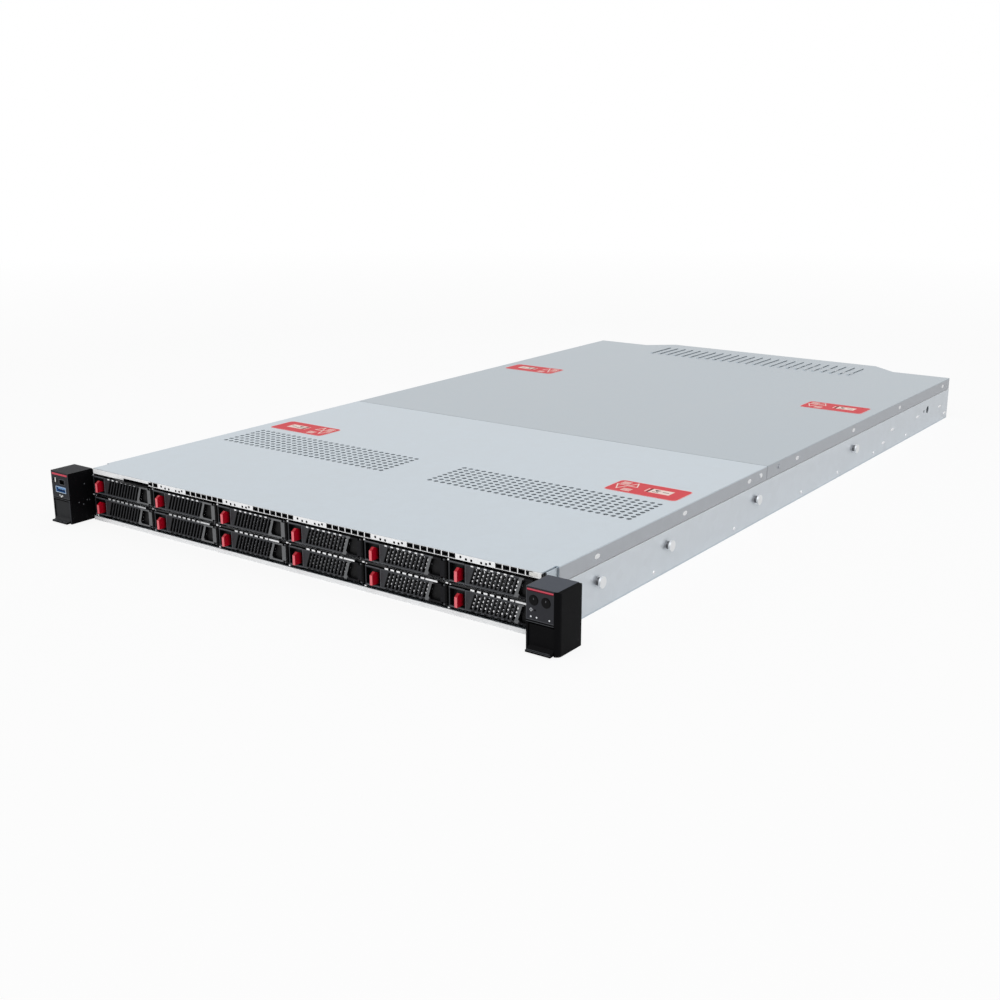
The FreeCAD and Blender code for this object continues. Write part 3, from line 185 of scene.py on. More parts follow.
steel = {
    "cover": colour(0.56, 0.62, 0.67),
    # painted shade: the lift-off rear cover is toned darker than the front one
    "shadedRearCover": colour(0.45, 0.50, 0.54),
    # painted shade on the covers' recessed side strips
    "strip": colour(0.44, 0.46, 0.49),
    "flange": colour(0.88, 0.90, 0.92),
    # matte white, used as a painted highlight on lit fronts, lips, teeth and dots
    "white": colour(0.93, 0.94, 0.95),
    # painted light: the tray's side walls are lighter than the rest of the tray
    "wall": colour(0.66, 0.70, 0.74),
    "cage": colour(0.62, 0.64, 0.66),
    "dull": colour(0.30, 0.31, 0.32),
    "shadow": colour(0.004, 0.004, 0.005),
    "bright": colour(0.86, 0.87, 0.88),
    # painted shadow on the fastener studs' necks
    "neck": colour(0.16, 0.16, 0.17),
    "roughness": 0.38,
    "metallic": 0.75,
    "spangle": 140.0,
}
plastic = {
    "ear": colour(0.003, 0.003, 0.0036),
    "panel": colour(0.034, 0.035, 0.040),
    # painted highlight along the ears' and latches' edges
    "panelEdgeHighlight": colour(0.075, 0.078, 0.085),
    # painted light and shade: the right ear's top lit grey, the left one's dark
    "litRightTop": colour(0.066, 0.074, 0.092),
    "shadedLeftTop": colour(0.010, 0.011, 0.014),
    "strip": colour(0.60, 0.085, 0.12),
    "stripShade": colour(0.10, 0.002, 0.012),
    # painted shade behind the bezels' faces and in their slots
    "recess": colour(0.0035, 0.0035, 0.004),
    "bezel": colour(0.030, 0.032, 0.036),
    "lever": colour(0.048, 0.050, 0.055),
    # painted shade: the levers darker towards the left
    "leverShade": colour(0.026, 0.027, 0.030),
    # pale grey trim; on the bezel rims and lever edges it is a painted highlight
    "trim": colour(0.10, 0.105, 0.115),
    "frame": colour(0.16, 0.165, 0.17),
    # painted shade on the window frames of the right-hand bays
    "shadedFrame": colour(0.008, 0.008, 0.010),
    "tab": colour(0.40, 0.001, 0.012),
    "tabEdge": colour(0.86, 0.17, 0.20),
    "tabShade": colour(0.02, 0.0002, 0.001),
    # painted light: the left latch's face lit grey, while the right one stays black
    "litLeftLatch": colour(0.030, 0.031, 0.033),
    "rightLatch": colour(0.004, 0.004, 0.0045),
    "button": colour(0.002, 0.002, 0.0025),
    "socketBlue": colour(0.055, 0.17, 0.42),
    "gloss": 0.04,
}
board = {
    "green": colour(0.012, 0.085, 0.045),
    "dark": colour(0.012, 0.012, 0.013),
    "memory": colour(0.008, 0.05, 0.028),
    "metal": colour(0.62, 0.63, 0.64),
    "gold": colour(0.75, 0.52, 0.20),
}


def painted(shader, base, regions, place):
    # regions are functions of x, y and z that give a mask, each with its colour
    tone = base
    for region, tint in regions:
        tone = shader.mix(region(*place), tone, tint)
    return tone


def steelPaint(name, base, regions=(), metallic=None, matte=()):
    # matte regions take their colour too, but aren't metallic
    shader = Shader(name)
    place = shader.place()
    value = steel["metallic"] if metallic is None else metallic
    tone = painted(shader, base, regions, place)
    for region, tint in matte:
        mask = region(*place)
        tone = shader.mix(mask, tone, tint)
        value = value * (1 - mask)
    cells = {"Vector": shader.objectPoint(), "Scale": steel["spangle"]}
    spangle = shader.node("ShaderNodeTexVoronoi", None, cells, 1)
    grey = shader.node("ShaderNodeRGBToBW", None, [spangle])
    cloud = shader.noise(9.0, 3.0, (1, 0.35, 1))
    fleck = (grey - 0.5) * 0.05 + (cloud - 0.5) * 0.06
    darker = shader.node("ShaderNodeVectorMath", {"operation": "SCALE"}, {0: tone, 3: 1.0 + fleck})
    roughness = steel["roughness"] + (grey - 0.5) * 0.06 + (cloud - 0.5) * 0.08
    return shader.finish(darker, roughness, value, Normal=shader.bump(grey, 0.00002, 0.25))


def plasticPaint(name, base, regions=(), roughness=0.42, grain=900.0, gloss=0.5):
    shader = Shader(name)
    tone = painted(shader, base, regions, shader.place())
    speck = shader.noise(grain, 2.0)
    rough = roughness + (speck - 0.5) * 0.12
    bumps = shader.bump(speck, 0.00003, 0.35)
    return shader.finish(tone, rough, 0.0, Normal=bumps, Specular_IOR_Level=gloss)


def plainPaint(name, base, roughness=0.4, metallic=0.0, coat=0.0, gloss=0.5):
    shader = Shader(name)
    return shader.finish(base, roughness, metallic, Coat_Weight=coat, Specular_IOR_Level=gloss)


# Bays repeat across the front, so one material finds its place inside any of them

bezelLow = boxOf("carrier_lever_01")[0]
lowerLow = boxOf("carrier_lever_07")[0]
bayPitch = boxOf("carrier_lever_02")[0].x - bezelLow.x
tierPitch = bezelLow.z - lowerLow.z
bay = {
    "leverStart": 13.8,
    "edgeGap": 0.2,
    "height": 14.0,
    "bezelBack": 9.0,
    "screenFront": 3.4,
    "screenBack": 4.1,
    "windowStart": 15.8,
    "rim": 1.2,
    "faceBack": -0.9,
    "grilleStart": 17.6,
    "grillePitch": 3.27,
    "grilleSlant": 4.0 / 11.0,
    "grilleEdge": 1.5,
    "ridgeShade": 2.8,
    "windowCorner": 54.6,
    "windowSlope": 0.33,
    "windowRight": 65.0,
    "frame": 2.6,
    "dotPitch": 3.3,
    "dotLength": 1.5,
    "dotLean": 0.55,
    "dotGlow": 0.7,
    "glowSpan": (-20.0, 200.0),
    "rimLine": 0.7,
}
bayLeft = bezelLow.x - bay["leverStart"]
bayBottom = lowerLow.z - bay["edgeGap"]
print("bay pitch", round(bayPitch, 2), "tier pitch", round(tierPitch, 2))


def acrossBay(x):
    return (x - bayLeft) % bayPitch


def upBay(z):
    return (z - bayBottom) % tierPitch


flangeHoles = {
    "start": 39.4,
    "pitch": 5.82,
    "count": 7,
    "halfWidth": 2.55,
    "halfHeight": 1.65,
    "limit": 209.0,
    "labelEnd": -145.5,
    "drop": 1.2,
    "edgeDepth": 0.02,
}
coverPlaces = {
    "sheet": 1.0,
    "faceDepth": 0.7,
    "faceDrop": 0.3,
    "stripInset": 0.2,
    "stripDrop": 0.8,
    "wallDepth": 1.6,
    "wallDrop": 0.05,
    "sideInset": 1.2,
}


def coverPaint(name, base):
    # the flange's front face is painted matte white as a highlight, with painted shade as a dark
    # edge round each slot and inside its holes
    high = boxOf("front_cover")[1]
    under = high.z - coverPlaces["sheet"]
    middle = under - flangeHoles["drop"]
    pitch = flangeHoles["pitch"]
    edge = flangeHoles["edgeDepth"]

    # painted highlight: the flange's front face in matte white
    def front(x, y, z):
        return (y < coverPlaces["faceDepth"]) * (z < high.z - coverPlaces["faceDrop"])

    # painted shade: the side strips darker than the walls below them
    def strip(x, y, z):
        side = abs(x) > high.x - coverPlaces["stripInset"]
        return side * (z < high.z - coverPlaces["stripDrop"])

    # painted shadow on the walls of the holes
    def walls(x, y, z):
        inner = (z < under - coverPlaces["wallDrop"]) * (abs(x) < high.x - coverPlaces["sideInset"])
        return band(y, edge, coverPlaces["wallDepth"]) * inner

    # painted shade: a dark edge round each slot's mouth, wider than the slot
    def slots(x, y, z):
        along = (x - flangeHoles["start"] + pitch / 2) % bayPitch
        inSlot = abs(along % pitch - pitch / 2) < flangeHoles["halfWidth"]
        rows = abs(z - middle) < flangeHoles["halfHeight"]
        placed = (abs(x) < flangeHoles["limit"]) * (x > flangeHoles["labelEnd"])
        return inSlot * rows * placed * (along < pitch * flangeHoles["count"]) * (y < edge)

    matte = [(front, steel["white"]), (walls, steel["shadow"]), (slots, steel["shadow"])]
    return steelPaint(name, base, [(strip, steel["strip"])], None, matte)


trayPlaces = {
    "wallInset": 0.3,
    "wallLow": 1.3,
    "lipDepth": 0.1,
    "lipHigh": 3.4,
    "shoulderHighlight": (31.2, 31.6),
    "shoulderInset": 1.6,
    "darkInset": 4.5,
    "darkDepth": 16.0,
    "darkLow": 3.6,
}


def trayPaint():
    high = boxOf("chassis_tray")[1]

    # painted light: the outer side walls lighter than the rest of the tray
    def wall(x, y, z):
        return (abs(x) > high.x - trayPlaces["wallInset"]) * (z > trayPlaces["wallLow"])

    # painted highlight along the side walls' shoulder line
    def shoulderHighlight(x, y, z):
        return band(z, *trayPlaces["shoulderHighlight"]) * (abs(x) > high.x - trayPlaces["shoulderInset"])

    # painted highlight: the tray's front lip in matte white
    def lip(x, y, z):
        return (y < trayPlaces["lipDepth"]) * (z < trayPlaces["lipHigh"])

    def inside(x, y, z):
        front = (y < trayPlaces["darkDepth"]) * (z > trayPlaces["darkLow"])
        return (abs(x) < high.x - trayPlaces["darkInset"]) * front

    regions = [(wall, steel["wall"]), (shoulderHighlight, steel["bright"])]
    matte = [(lip, steel["white"]), (inside, steel["shadow"])]
    return steelPaint("galvanised tray", steel["cover"], regions, None, matte)


cagePlaces = {
    "darkDepth": 12.0,
    "toothFront": -2.1,
    "toothHigh": 23.0,
    "toothSpan": (-230.0, 20.0),
    "neckLength": 2.4,
    "neckHigh": 30.0,
}


def cagePaint():
    # only the teeth between the rows catch the light; the cage behind the bezels is in the dark
    shader = Shader("cage steel")
    x, y, z = shader.place()
    cloud = shader.noise(30.0, 3.0)
    shade = y < cagePlaces["darkDepth"]
    teeth = (y < cagePlaces["toothFront"]) * (z < cagePlaces["toothHigh"])
    tone = shader.mix(shade, steel["cage"], steel["shadow"])
    lit = shader.rising(x, *cagePlaces["toothSpan"])
    tone = shader.mix(teeth, tone, shader.mix(lit, steel["dull"], steel["white"]))
    roughness = steel["roughness"] + (cloud - 0.5) * 0.1
    return shader.finish(tone, roughness, (1 - either(shade, teeth)) * steel["metallic"])


def fastenerPaint():
    side = boxOf("chassis_tray")[1].x

    # painted shadow: the studs' necks darker than their bright heads
    def neck(x, y, z):
        out = (abs(x) > side) * (abs(x) < side + cagePlaces["neckLength"])
        return out * (z < cagePlaces["neckHigh"])

    return steelPaint("bright fasteners", steel["bright"], [(neck, steel["neck"])], 0.9)


def rimLines(up):
    # the thin lines along the top and bottom of each bezel, painted as highlights on the rims
    return either(up < bay["rimLine"], up > bay["height"] - bay["rimLine"])


carrierPlaces = {
    "skin": 0.05,
    "sheetGap": 0.01,
    "edge": 0.2,
    "darkDepth": 10.5,
}


def carrierPaint():
    # behind the lever's slots the drive's screen shows as rows of dots, painted white as highlights
    # with painted shadow between them and a painted glow that grows towards the right; behind the
    # bezel's face the carrier is painted near black as shade
    shader = Shader("drive carrier")
    x, y, z = shader.place()
    across = acrossBay(x)
    up = upBay(z)
    height = bay["height"]
    slanted = across - (up - bay["grilleEdge"]) * bay["windowSlope"]
    skin = carrierPlaces["skin"]
    edge = carrierPlaces["edge"]
    inWindow = (across > bay["windowStart"] + skin) * (slanted < bay["windowCorner"] - bay["frame"])
    inRims = band(up, bay["rim"] + skin, height - bay["rim"])
    screen = inWindow * inRims * band(y, bay["screenFront"], bay["screenBack"])
    dots = ((up + across * bay["dotLean"]) % bay["dotPitch"]) < bay["dotLength"]
    sheet = either(y > bay["bezelBack"] + carrierPlaces["sheetGap"], up > height + skin)
    face = y < bay["faceBack"]
    # painted shade inside the bay, behind the face
    inside = (1 - face) * band(up, edge, height - edge) * (across > bay["windowStart"])
    inside = inside * (1 - screen) * (y < carrierPlaces["darkDepth"])
    tone = shader.mix(face, plastic["recess"], plastic["bezel"])
    tone = shader.mix(face * rimLines(up), tone, plastic["trim"])
    tone = shader.mix(sheet, tone, steel["flange"])
    tone = shader.mix(inside, tone, plastic["recess"])
    tone = shader.mix(screen, tone, shader.mix(dots, steel["shadow"], steel["white"]))
    speck = shader.noise(900.0)
    roughness = 0.42 - sheet * 0.1 + (speck - 0.5) * 0.1
    # painted light: the screen's dots glow more towards the right
    glow = screen * dots * shader.rising(x, *bay["glowSpan"])
    others = {
        "Emission_Color": shader.mix(glow, colour(0, 0, 0), steel["white"]),
        "Emission_Strength": bay["dotGlow"],
        "Specular_IOR_Level": 0.2,
        "Normal": shader.bump(speck, 0.00002, 0.3),
    }
    return shader.finish(tone, roughness, sheet * (1 - inside) * 0.8, **others)


leverPlaces = {
    "face": -0.93,
    "leftEdge": (13.0, 14.4),
    "grilleLead": 0.5,
    "frameGap": 0.3,
    "frameLap": 0.8,
    "lightSpan": (-230.0, 60.0),
}


def leverPaint():
    # grey ridges between dark slots, with a paler frame round the corner window; the back faces and
    # one side of each ridge are painted black as shade, and the levers darken towards the left as
    # painted shade
    shader = Shader("lever plastic")
    x, y, z = shader.place()
    across = acrossBay(x)
    up = upBay(z)
    edge = bay["grilleEdge"]
    rise = up - edge
    face = y < leverPlaces["face"]
    slanted = across - rise * bay["windowSlope"]
    corner = bay["windowCorner"]
    frameStart = corner - bay["frame"]
    grilleStart = bay["grilleStart"] - leverPlaces["grilleLead"]
    inGrille = band(slanted, grilleStart, frameStart - leverPlaces["frameGap"])
    inGrille = inGrille * band(rise, 0.0, bay["height"] - 2 * edge)
    along = (across - bay["grilleStart"] - rise * bay["grilleSlant"]) % bay["grillePitch"]
    ridgeShade = inGrille * (along > bay["ridgeShade"])
    leftEdge = band(across, *leverPlaces["leftEdge"])
    frameLeft = band(slanted, frameStart, corner + leverPlaces["frameLap"])
    frameRest = either(rise < 0.0, up > bay["height"] - edge)
    frameRest = either(across > bay["windowRight"], frameRest) * (slanted > corner)
    nearSide = x < 0.0
    light = shader.rising(x, *leverPlaces["lightSpan"])
    tone = shader.mix(light, plastic["leverShade"], plastic["lever"])
    tone = shader.mix(face, plastic["recess"], tone)
    # painted shade on one side of each ridge
    tone = shader.mix(face * ridgeShade, tone, plastic["recess"])
    # painted highlight on the rims and the levers' left edges
    tone = shader.mix(face * either(rimLines(up), leftEdge), tone, plastic["trim"])
    # painted shade: the frame's top, bottom and right sides dark on the right-hand bays
    tone = shader.mix(face * frameRest * (1 - nearSide), tone, plastic["shadedFrame"])
    tone = shader.mix(face * either(frameLeft, frameRest * nearSide), tone, plastic["frame"])
    speck = shader.noise(900.0)
    roughness = 0.42 + (speck - 0.5) * 0.1
    bumps = shader.bump(speck, 0.00002, 0.3)
    return shader.finish(tone, roughness, 0.0, Normal=bumps, Specular_IOR_Level=0.12)


tabPlaces = {
    "edgeDepth": 0.12,
    "fade": (-2.5, 1.2),
}


def tabPaint():
    # bright where the front face catches the light, and dark down in the bay
    shader = Shader("crimson tabs")
    front = boxOf("release_tab_01")[0].y
    y = shader.place()[1]
    tone = shader.mix(y < front + tabPlaces["edgeDepth"], plastic["tab"], plastic["tabEdge"])
    tone = shader.mix(shader.rising(y, *tabPlaces["fade"]), tone, plastic["tabShade"])
    roughness = 0.3 + (shader.noise(60.0) - 0.5) * 0.08
    return shader.finish(tone, roughness, 0.0, Coat_Weight=0.15, Specular_IOR_Level=0.25)


earPlaces = {
    "faceDepth": 0.4,
    "panelLow": 21.0,
    "panelInset": 3.5,
    "topDepth": 0.06,
    "topInset": 1.1,
    "arris": 218.5,
    "lines": ((21.0, 21.45), (19.6, 19.95)),
    "innerLine": (218.0, 218.35),
    "stripDepth": 0.24,
    "stripDrop": 2.7,
    "shadeDrop": 2.1,
    "usb": ((-234.6, -221.0), (25.0, 30.4), (0.5, 6.0)),
    "latchFace": 2.7,
    "latchEdgeLow": 2.3,
    "latchEdgeDepth": 0.1,
}


def earPaint():
    low, high = boxOf("right_ear")
    face = low.y + earPlaces["faceDepth"]
    panelLow = earPlaces["panelLow"]
    panelEnd = high.x - earPlaces["panelInset"]
    upperLine, lowerLine = earPlaces["lines"]

    def panel(x, y, z):
        return (y < face) * either(x < 0.0, (z > panelLow) * (abs(x) < panelEnd))

    # painted highlight: pale lines along the panel's edges
    def edge(x, y, z):
        line = either(band(z, *upperLine), band(z, *lowerLine))
        line = either(line, band(abs(x), *earPlaces["innerLine"]) * (z > panelLow))
        return (y < face) * line * (abs(x) < panelEnd)

    def groove(x, y, z):
        return (y < face) * band(z, lowerLine[1], panelLow) * (abs(x) < panelEnd)

    # painted shade on both ears' tops, painted light on the right one below
    def top(x, y, z):
        return (z > high.z - earPlaces["topDepth"]) * (abs(x) < high.x - earPlaces["topInset"])

    def litRightTop(x, y, z):
        return top(x, y, z) * (x > 0.0)

    # painted highlight on the inner part of the ears' tops
    def arris(x, y, z):
        return (z > high.z - earPlaces["topDepth"]) * (abs(x) < earPlaces["arris"])

    def strip(x, y, z):
        front = (y < low.y + earPlaces["stripDepth"]) * (z > high.z - earPlaces["stripDrop"])
        return front * (abs(x) < panelEnd)

    def stripShade(x, y, z):
        return strip(x, y, z) * (z < high.z - earPlaces["shadeDrop"]) * (x > 0.0)

    def usb(x, y, z):
        across, up, back = earPlaces["usb"]
        return band(x, *across) * band(z, *up) * band(y, *shifted(back, low.y))

    regions = [
        (panel, plastic["panel"]),
        (groove, plastic["ear"]),
        (edge, plastic["panelEdgeHighlight"]),
        (top, plastic["shadedLeftTop"]),
        (litRightTop, plastic["litRightTop"]),
        (arris, plastic["panelEdgeHighlight"]),
        (strip, plastic["strip"]),
        (stripShade, plastic["stripShade"]),
        (usb, plastic["socketBlue"]),
    ]
    return plasticPaint("ear plastic", plastic["ear"], regions, gloss=plastic["gloss"])


def latchPaint():
    front = boxOf("right_ear_latch")[0].y

    # painted light on the left latch's face
    def face(x, y, z):
        return (z > earPlaces["latchFace"]) * (x < 0.0)

    # painted highlight along the latch lip's front edge
    def lipEdge(x, y, z):
        return (y < front + earPlaces["latchEdgeDepth"]) * (z > earPlaces["latchEdgeLow"])

    regions = [(face, plastic["litLeftLatch"]), (lipEdge, plastic["panelEdgeHighlight"])]
    base = plastic["rightLatch"]
    return plasticPaint("latch plastic", base, regions, 0.4, gloss=plastic["gloss"])


innerPlaces = {
    "sinkLow": 7.55,
    "sinkAcross": (60.9, 137.1),
    "sinkSpan": (429.9, 538.1),
    "boardTop": 5.62,
    "socketFront": 755.0,
    "socketAcross": 14.0,
    "memoryLow": 12.62,
    "memorySpan": (417.9, 551.5),
    "slotSpan": (414.0, 555.0),
    "connectorBack": 1.65,
    "handleReach": 22.0,
    "inlet": ((145.6, 172.8), (10.9, 31.1)),
    "inletDepth": 14.5,
    "skin": 0.05,
}


def mainboardPaint():
    shader = Shader("main board")
    x, y, z = shader.place()
    top = innerPlaces["boardTop"]
    memoryLow = innerPlaces["memoryLow"]
    sink = band(abs(x), *innerPlaces["sinkAcross"]) * band(y, *innerPlaces["sinkSpan"])
    sink = (z > innerPlaces["sinkLow"]) * sink
    socket = (z > top) * (abs(x) > innerPlaces["socketAcross"]) * (y > innerPlaces["socketFront"])
    metal = either(sink, socket)
    memory = (z > memoryLow) * band(y, *innerPlaces["memorySpan"]) * (1 - sink)
    slots = band(z, top, memoryLow) * band(y, *innerPlaces["slotSpan"]) * (1 - sink)
    tone = shader.mix(slots, board["green"], board["dark"])
    tone = shader.mix(memory, tone, board["memory"])
    tone = shader.mix(metal, tone, board["metal"])
    trace = shader.noise(220.0, 3.0, (1, 0.2, 1))
    roughness = 0.45 - metal * 0.12 + (trace - 0.5) * 0.1
    return shader.finish(tone, roughness, metal * 0.8, Normal=shader.bump(trace, 0.00004, 0.3))


def backplanePaint():
    back = boxOf("drive_backplane")[1].y

    def connectors(x, y, z):
        return y < back - innerPlaces["connectorBack"]

    return plasticPaint("backplane", board["green"], [(connectors, board["dark"])], 0.45, 300.0)


def supplyPaint():
    # the handle and the inlet are black
    shader = Shader("supply case")
    x, y, z = shader.place()
    back = boxOf("right_power_supply")[1].y - innerPlaces["handleReach"]
    skin = innerPlaces["skin"]
    across, up = innerPlaces["inlet"]
    deep = band(y, back - innerPlaces["inletDepth"], back - skin)
    inlet = band(abs(x), *across) * band(z, *up) * deep
    black = either(y > back + skin, inlet)
    tone = shader.mix(black, steel["cage"], plastic["rightLatch"])
    cloud = shader.noise(40.0, 3.0, (1, 0.3, 1))
    roughness = 0.36 + (cloud - 0.5) * 0.1
    return shader.finish(tone, roughness, (1 - black) * 0.8)


paints = {
    "cover": coverPaint("fixed cover steel", steel["cover"]),
    "shadedRearCover": coverPaint("lift-off cover steel with painted shade", steel["shadedRearCover"]),
    "tray": trayPaint(),
    "cage": cagePaint(),
    "fasteners": fastenerPaint(),
    "carrier": carrierPaint(),
    "lever": leverPaint(),
    "tab": tabPaint(),
    "ear": earPaint(),
    "latch": latchPaint(),
    "mainboard": mainboardPaint(),
    "backplane": backplanePaint(),
    "supply": supplyPaint(),
    "button": plainPaint("gloss black buttons", plastic["button"], 0.2, gloss=0.12),
    "black": plasticPaint("black moulding", plastic["ear"], roughness=0.4, gloss=0.2),
    "fan": plasticPaint("fan moulding", plastic["bezel"], roughness=0.4),
    "trim": plasticPaint("pale grey trim", plastic["trim"], roughness=0.38, gloss=0.2),
    "bright": plainPaint("bright screw steel", steel["bright"], 0.25, 0.9),
    "gold": plainPaint("gold contacts", board["gold"], 0.3, 0.9),
    "dark": plainPaint("dark recess", colour(0.002, 0.002, 0.002), 0.6, gloss=0.05),
    "white": plainPaint("bright edge", steel["white"], 0.5),
    "paper": plainPaint("white print", colour(0.80, 0.80, 0.78), 0.55),
    "greyPrintAndShade": plainPaint("grey print and painted shade", colour(0.36, 0.37, 0.39), 0.5),
    "dimMark": plainPaint("faint print", colour(0.10, 0.10, 0.11), 0.5),
    "lampGreen": plainPaint("green lamps", colour(0.05, 0.45, 0.10), 0.3),
    "tabRed": plasticPaint("red moulding", plastic["tab"], roughness=0.35, gloss=0.3),
}
cadPaints = {
    "front_cover": "cover",
    "rear_cover": "shadedRearCover",
    "chassis_tray": "tray",
    "drive_cage": "cage",
    "drive_backplane": "backplane",
    "drive_carrier": "carrier",
    "carrier_lever": "lever",
    "release_tab": "tab",
    "fasteners": "fasteners",
    "mainboard": "mainboard",
    "fan_housings": "fan",
    "fan_rotor": "fan",
    "label_tab": "black",
    "power_button": "button",
    "id_button": "button",
    "ear": "ear",
    "ear_latch": "latch",
    "rack_screw": "bright",
    "power_supply": "supply",
}


def paintFor(node):
    # numbered pieces share a paint, and so do left and right ones
    kind = node.rstrip("_0123456789")
    return cadPaints[kind.removeprefix("left_").removeprefix("right_")]


for name, node in nodes.items():
    node.data.materials.clear()
    node.data.materials.append(paints[paintFor(name)])
print("CAD nodes painted")


# Small modelling helpers; sizes are in millimetres, and a place comes from at()

def block(bm, across, back, up, edge=0.0):
    # a box between two places along each axis; edge rounds all twelve edges
    low = at(across[0], back[0], up[0])
    high = at(across[1], back[1], up[1])
    verts = bmesh.ops.create_cube(bm, size=1.0)["verts"]
    bmesh.ops.scale(bm, vec=[abs(length) for length in high - low], verts=verts)
    bmesh.ops.translate(bm, vec=(low + high) / 2, verts=verts)
    if edge:
        edges = list({e for v in verts for e in v.link_edges})
        bmesh.ops.bevel(bm, geom=edges, offset=edge * millimetre, affect="EDGES",
                        segments=2, profile=0.5, material=-1)


def disc(bm, centre, axis, radius, length, sides=12):
    # a round bar from centre along axis
    verts = bmesh.ops.create_cone(
        bm, cap_ends=True, segments=sides, radius1=radius * millimetre, radius2=radius * millimetre,
        depth=length * millimetre)["verts"]
    turn = upward.rotation_difference(axis).to_matrix()
    bmesh.ops.rotate(bm, cent=(0, 0, 0), matrix=turn, verts=verts)
    bmesh.ops.translate(bm, vec=centre + axis * (length * millimetre / 2), verts=verts)


def thicken(bm, faces, axis, length):
    grown = bmesh.ops.extrude_face_region(bm, geom=faces)
    moved = [item for item in grown["geom"] if isinstance(item, bmesh.types.BMVert)]
    bmesh.ops.translate(bm, vec=axis * length * millimetre, verts=moved)


def outline(bm, corners, rounding=0.0):
    # a flat face, its corners rounded first if asked
    face = bm.faces.new([bm.verts.new(corner) for corner in corners])
    if rounding:
        made = bmesh.ops.bevel(
            bm, geom=list(face.verts), offset=rounding * millimetre, affect="VERTICES",
            segments=5, profile=0.5, material=-1)
        face = max({f for v in made["verts"] for f in v.link_faces}, key=lambda f: f.calc_area())
    return face


def slab(bm, corners, axis, length, rounding=0.0):
    thicken(bm, [outline(bm, corners, rounding)], axis, length)


def hoop(bm, corners, width, axis, length, rounding=0.0):
    # the band just inside an outline, given thickness
    face = outline(bm, corners, rounding)
    face.normal_update()
    ring = bmesh.ops.inset_region(
        bm, faces=[face], thickness=width * millimetre, use_even_offset=True,
        use_boundary=True)["faces"]
    bmesh.ops.delete(bm, geom=[face], context="FACES_ONLY")
    thicken(bm, ring, axis, length)


def addObject(name, data):
    made = bpy.data.objects.new(name, data)
    bpy.context.collection.objects.link(made)
    return made


def addMesh(name, bm, material):
    mesh = bpy.data.meshes.new(name)
    bm.to_mesh(mesh)
    bm.free()
    mesh.materials.append(material)
    return addObject(name, mesh)


def finish(name, bm, paint, body="chassis"):
    bmesh.ops.recalc_face_normals(bm, faces=bm.faces)
    piece = addMesh(name.replace(" ", "_"), bm, paints[paint])
    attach(piece, body)


def flat(x0, x1, y0, y1, z):
    return [at(x0, y0, z), at(x1, y0, z), at(x1, y1, z), at(x0, y1, z)]


# Removal stickers on both covers

sticker = {
    "size": (61.5, 30.0),
    "corner": 4.0,
    "thickness": 0.08,
    "border": 0.5,
    "borderInset": 0.05,
    "borderRise": 0.024,
    "printRise": 0.03,
    "shadeLift": 0.035,
    "centres": {"chassis": 200.0, "rear_cover": 563.0},
    "outward": 175.2,
    "printColour": colour(0.70, 0.06, 0.075),
    "borderColour": colour(0.85, 0.42, 0.40),
    "paleColour": colour(0.90, 0.72, 0.66),
}
mark = {
    "arrows": (
        ((-22.95, -9.0), (-28.6, 3.4), (-17.6, 3.4)),
        ((-14.25, 12.6), (-18.9, 1.4), (-9.6, 1.4)),
    ),
    "tails": ((-26.8, -19.4, 5.2), (-18.0, -10.4, -10.8)),
    "arrowLine": 1.0,
    "tailBars": 3,
    "tailStep": 2.4,
    "tailBar": 1.3,
    "bars": ((0.6, 19.4, -4.2, 6.0), (-1.7, -0.7, -3.6, 5.4)),
    "shadeBars": ((0.6, 1.9, -4.2, 6.0), (4.2, 9.4, -2.0, -1.2), (12.0, 17.0, 0.4, 1.3)),
    "lid": ((4.2, 3.6), (9.4, 3.6), (6.8, 0.2)),
}
paints["sticker"] = plainPaint("coral sticker", sticker["printColour"], 0.5, gloss=0.1)
paints["stickerBorder"] = plainPaint("sticker border", sticker["borderColour"], 0.45)
paints["stickerPale"] = plainPaint("sticker print", sticker["paleColour"], 0.5, gloss=0.1)
coverTop = boxOf("front_cover")[1].z
printLayer = coverTop + sticker["thickness"]


def stickerOutline(x, y, inset, z):
    dx = sticker["size"][0] / 2 - inset
    dy = sticker["size"][1] / 2 - inset
    return flat(x - dx, x + dx, y - dy, y + dy, z)


def bar(bm, x, y, side, edges, z):
    # a printed bar; edges are measured from the sticker's middle, outwards and backwards
    x0, x1, y0, y1 = edges
    slab(bm, flat(x + side * x0, x + side * x1, y + y0, y + y1, z), upward, sticker["printRise"])


def coverMark(bm, x, y, side):
    # two open arrow heads with striped tails, and a panel
    for points, (x0, x1, start) in zip(mark["arrows"], mark["tails"]):
        corners = [at(x + side * px, y + py, printLayer) for px, py in points]
        hoop(bm, corners, mark["arrowLine"], upward, sticker["printRise"])
        for step in range(mark["tailBars"]):
            low = start + step * mark["tailStep"]
            bar(bm, x, y, side, (x0, x1, low, low + mark["tailBar"]), printLayer)
    for edges in mark["bars"]:
        bar(bm, x, y, side, edges, printLayer)


def coverMarkShade(bm, x, y, side):
    z = printLayer + sticker["shadeLift"]
    for edges in mark["shadeBars"]:
        bar(bm, x, y, side, edges, z)
    corners = [at(x + side * px, y + py, z) for px, py in mark["lid"]]
    slab(bm, corners, upward, sticker["printRise"])


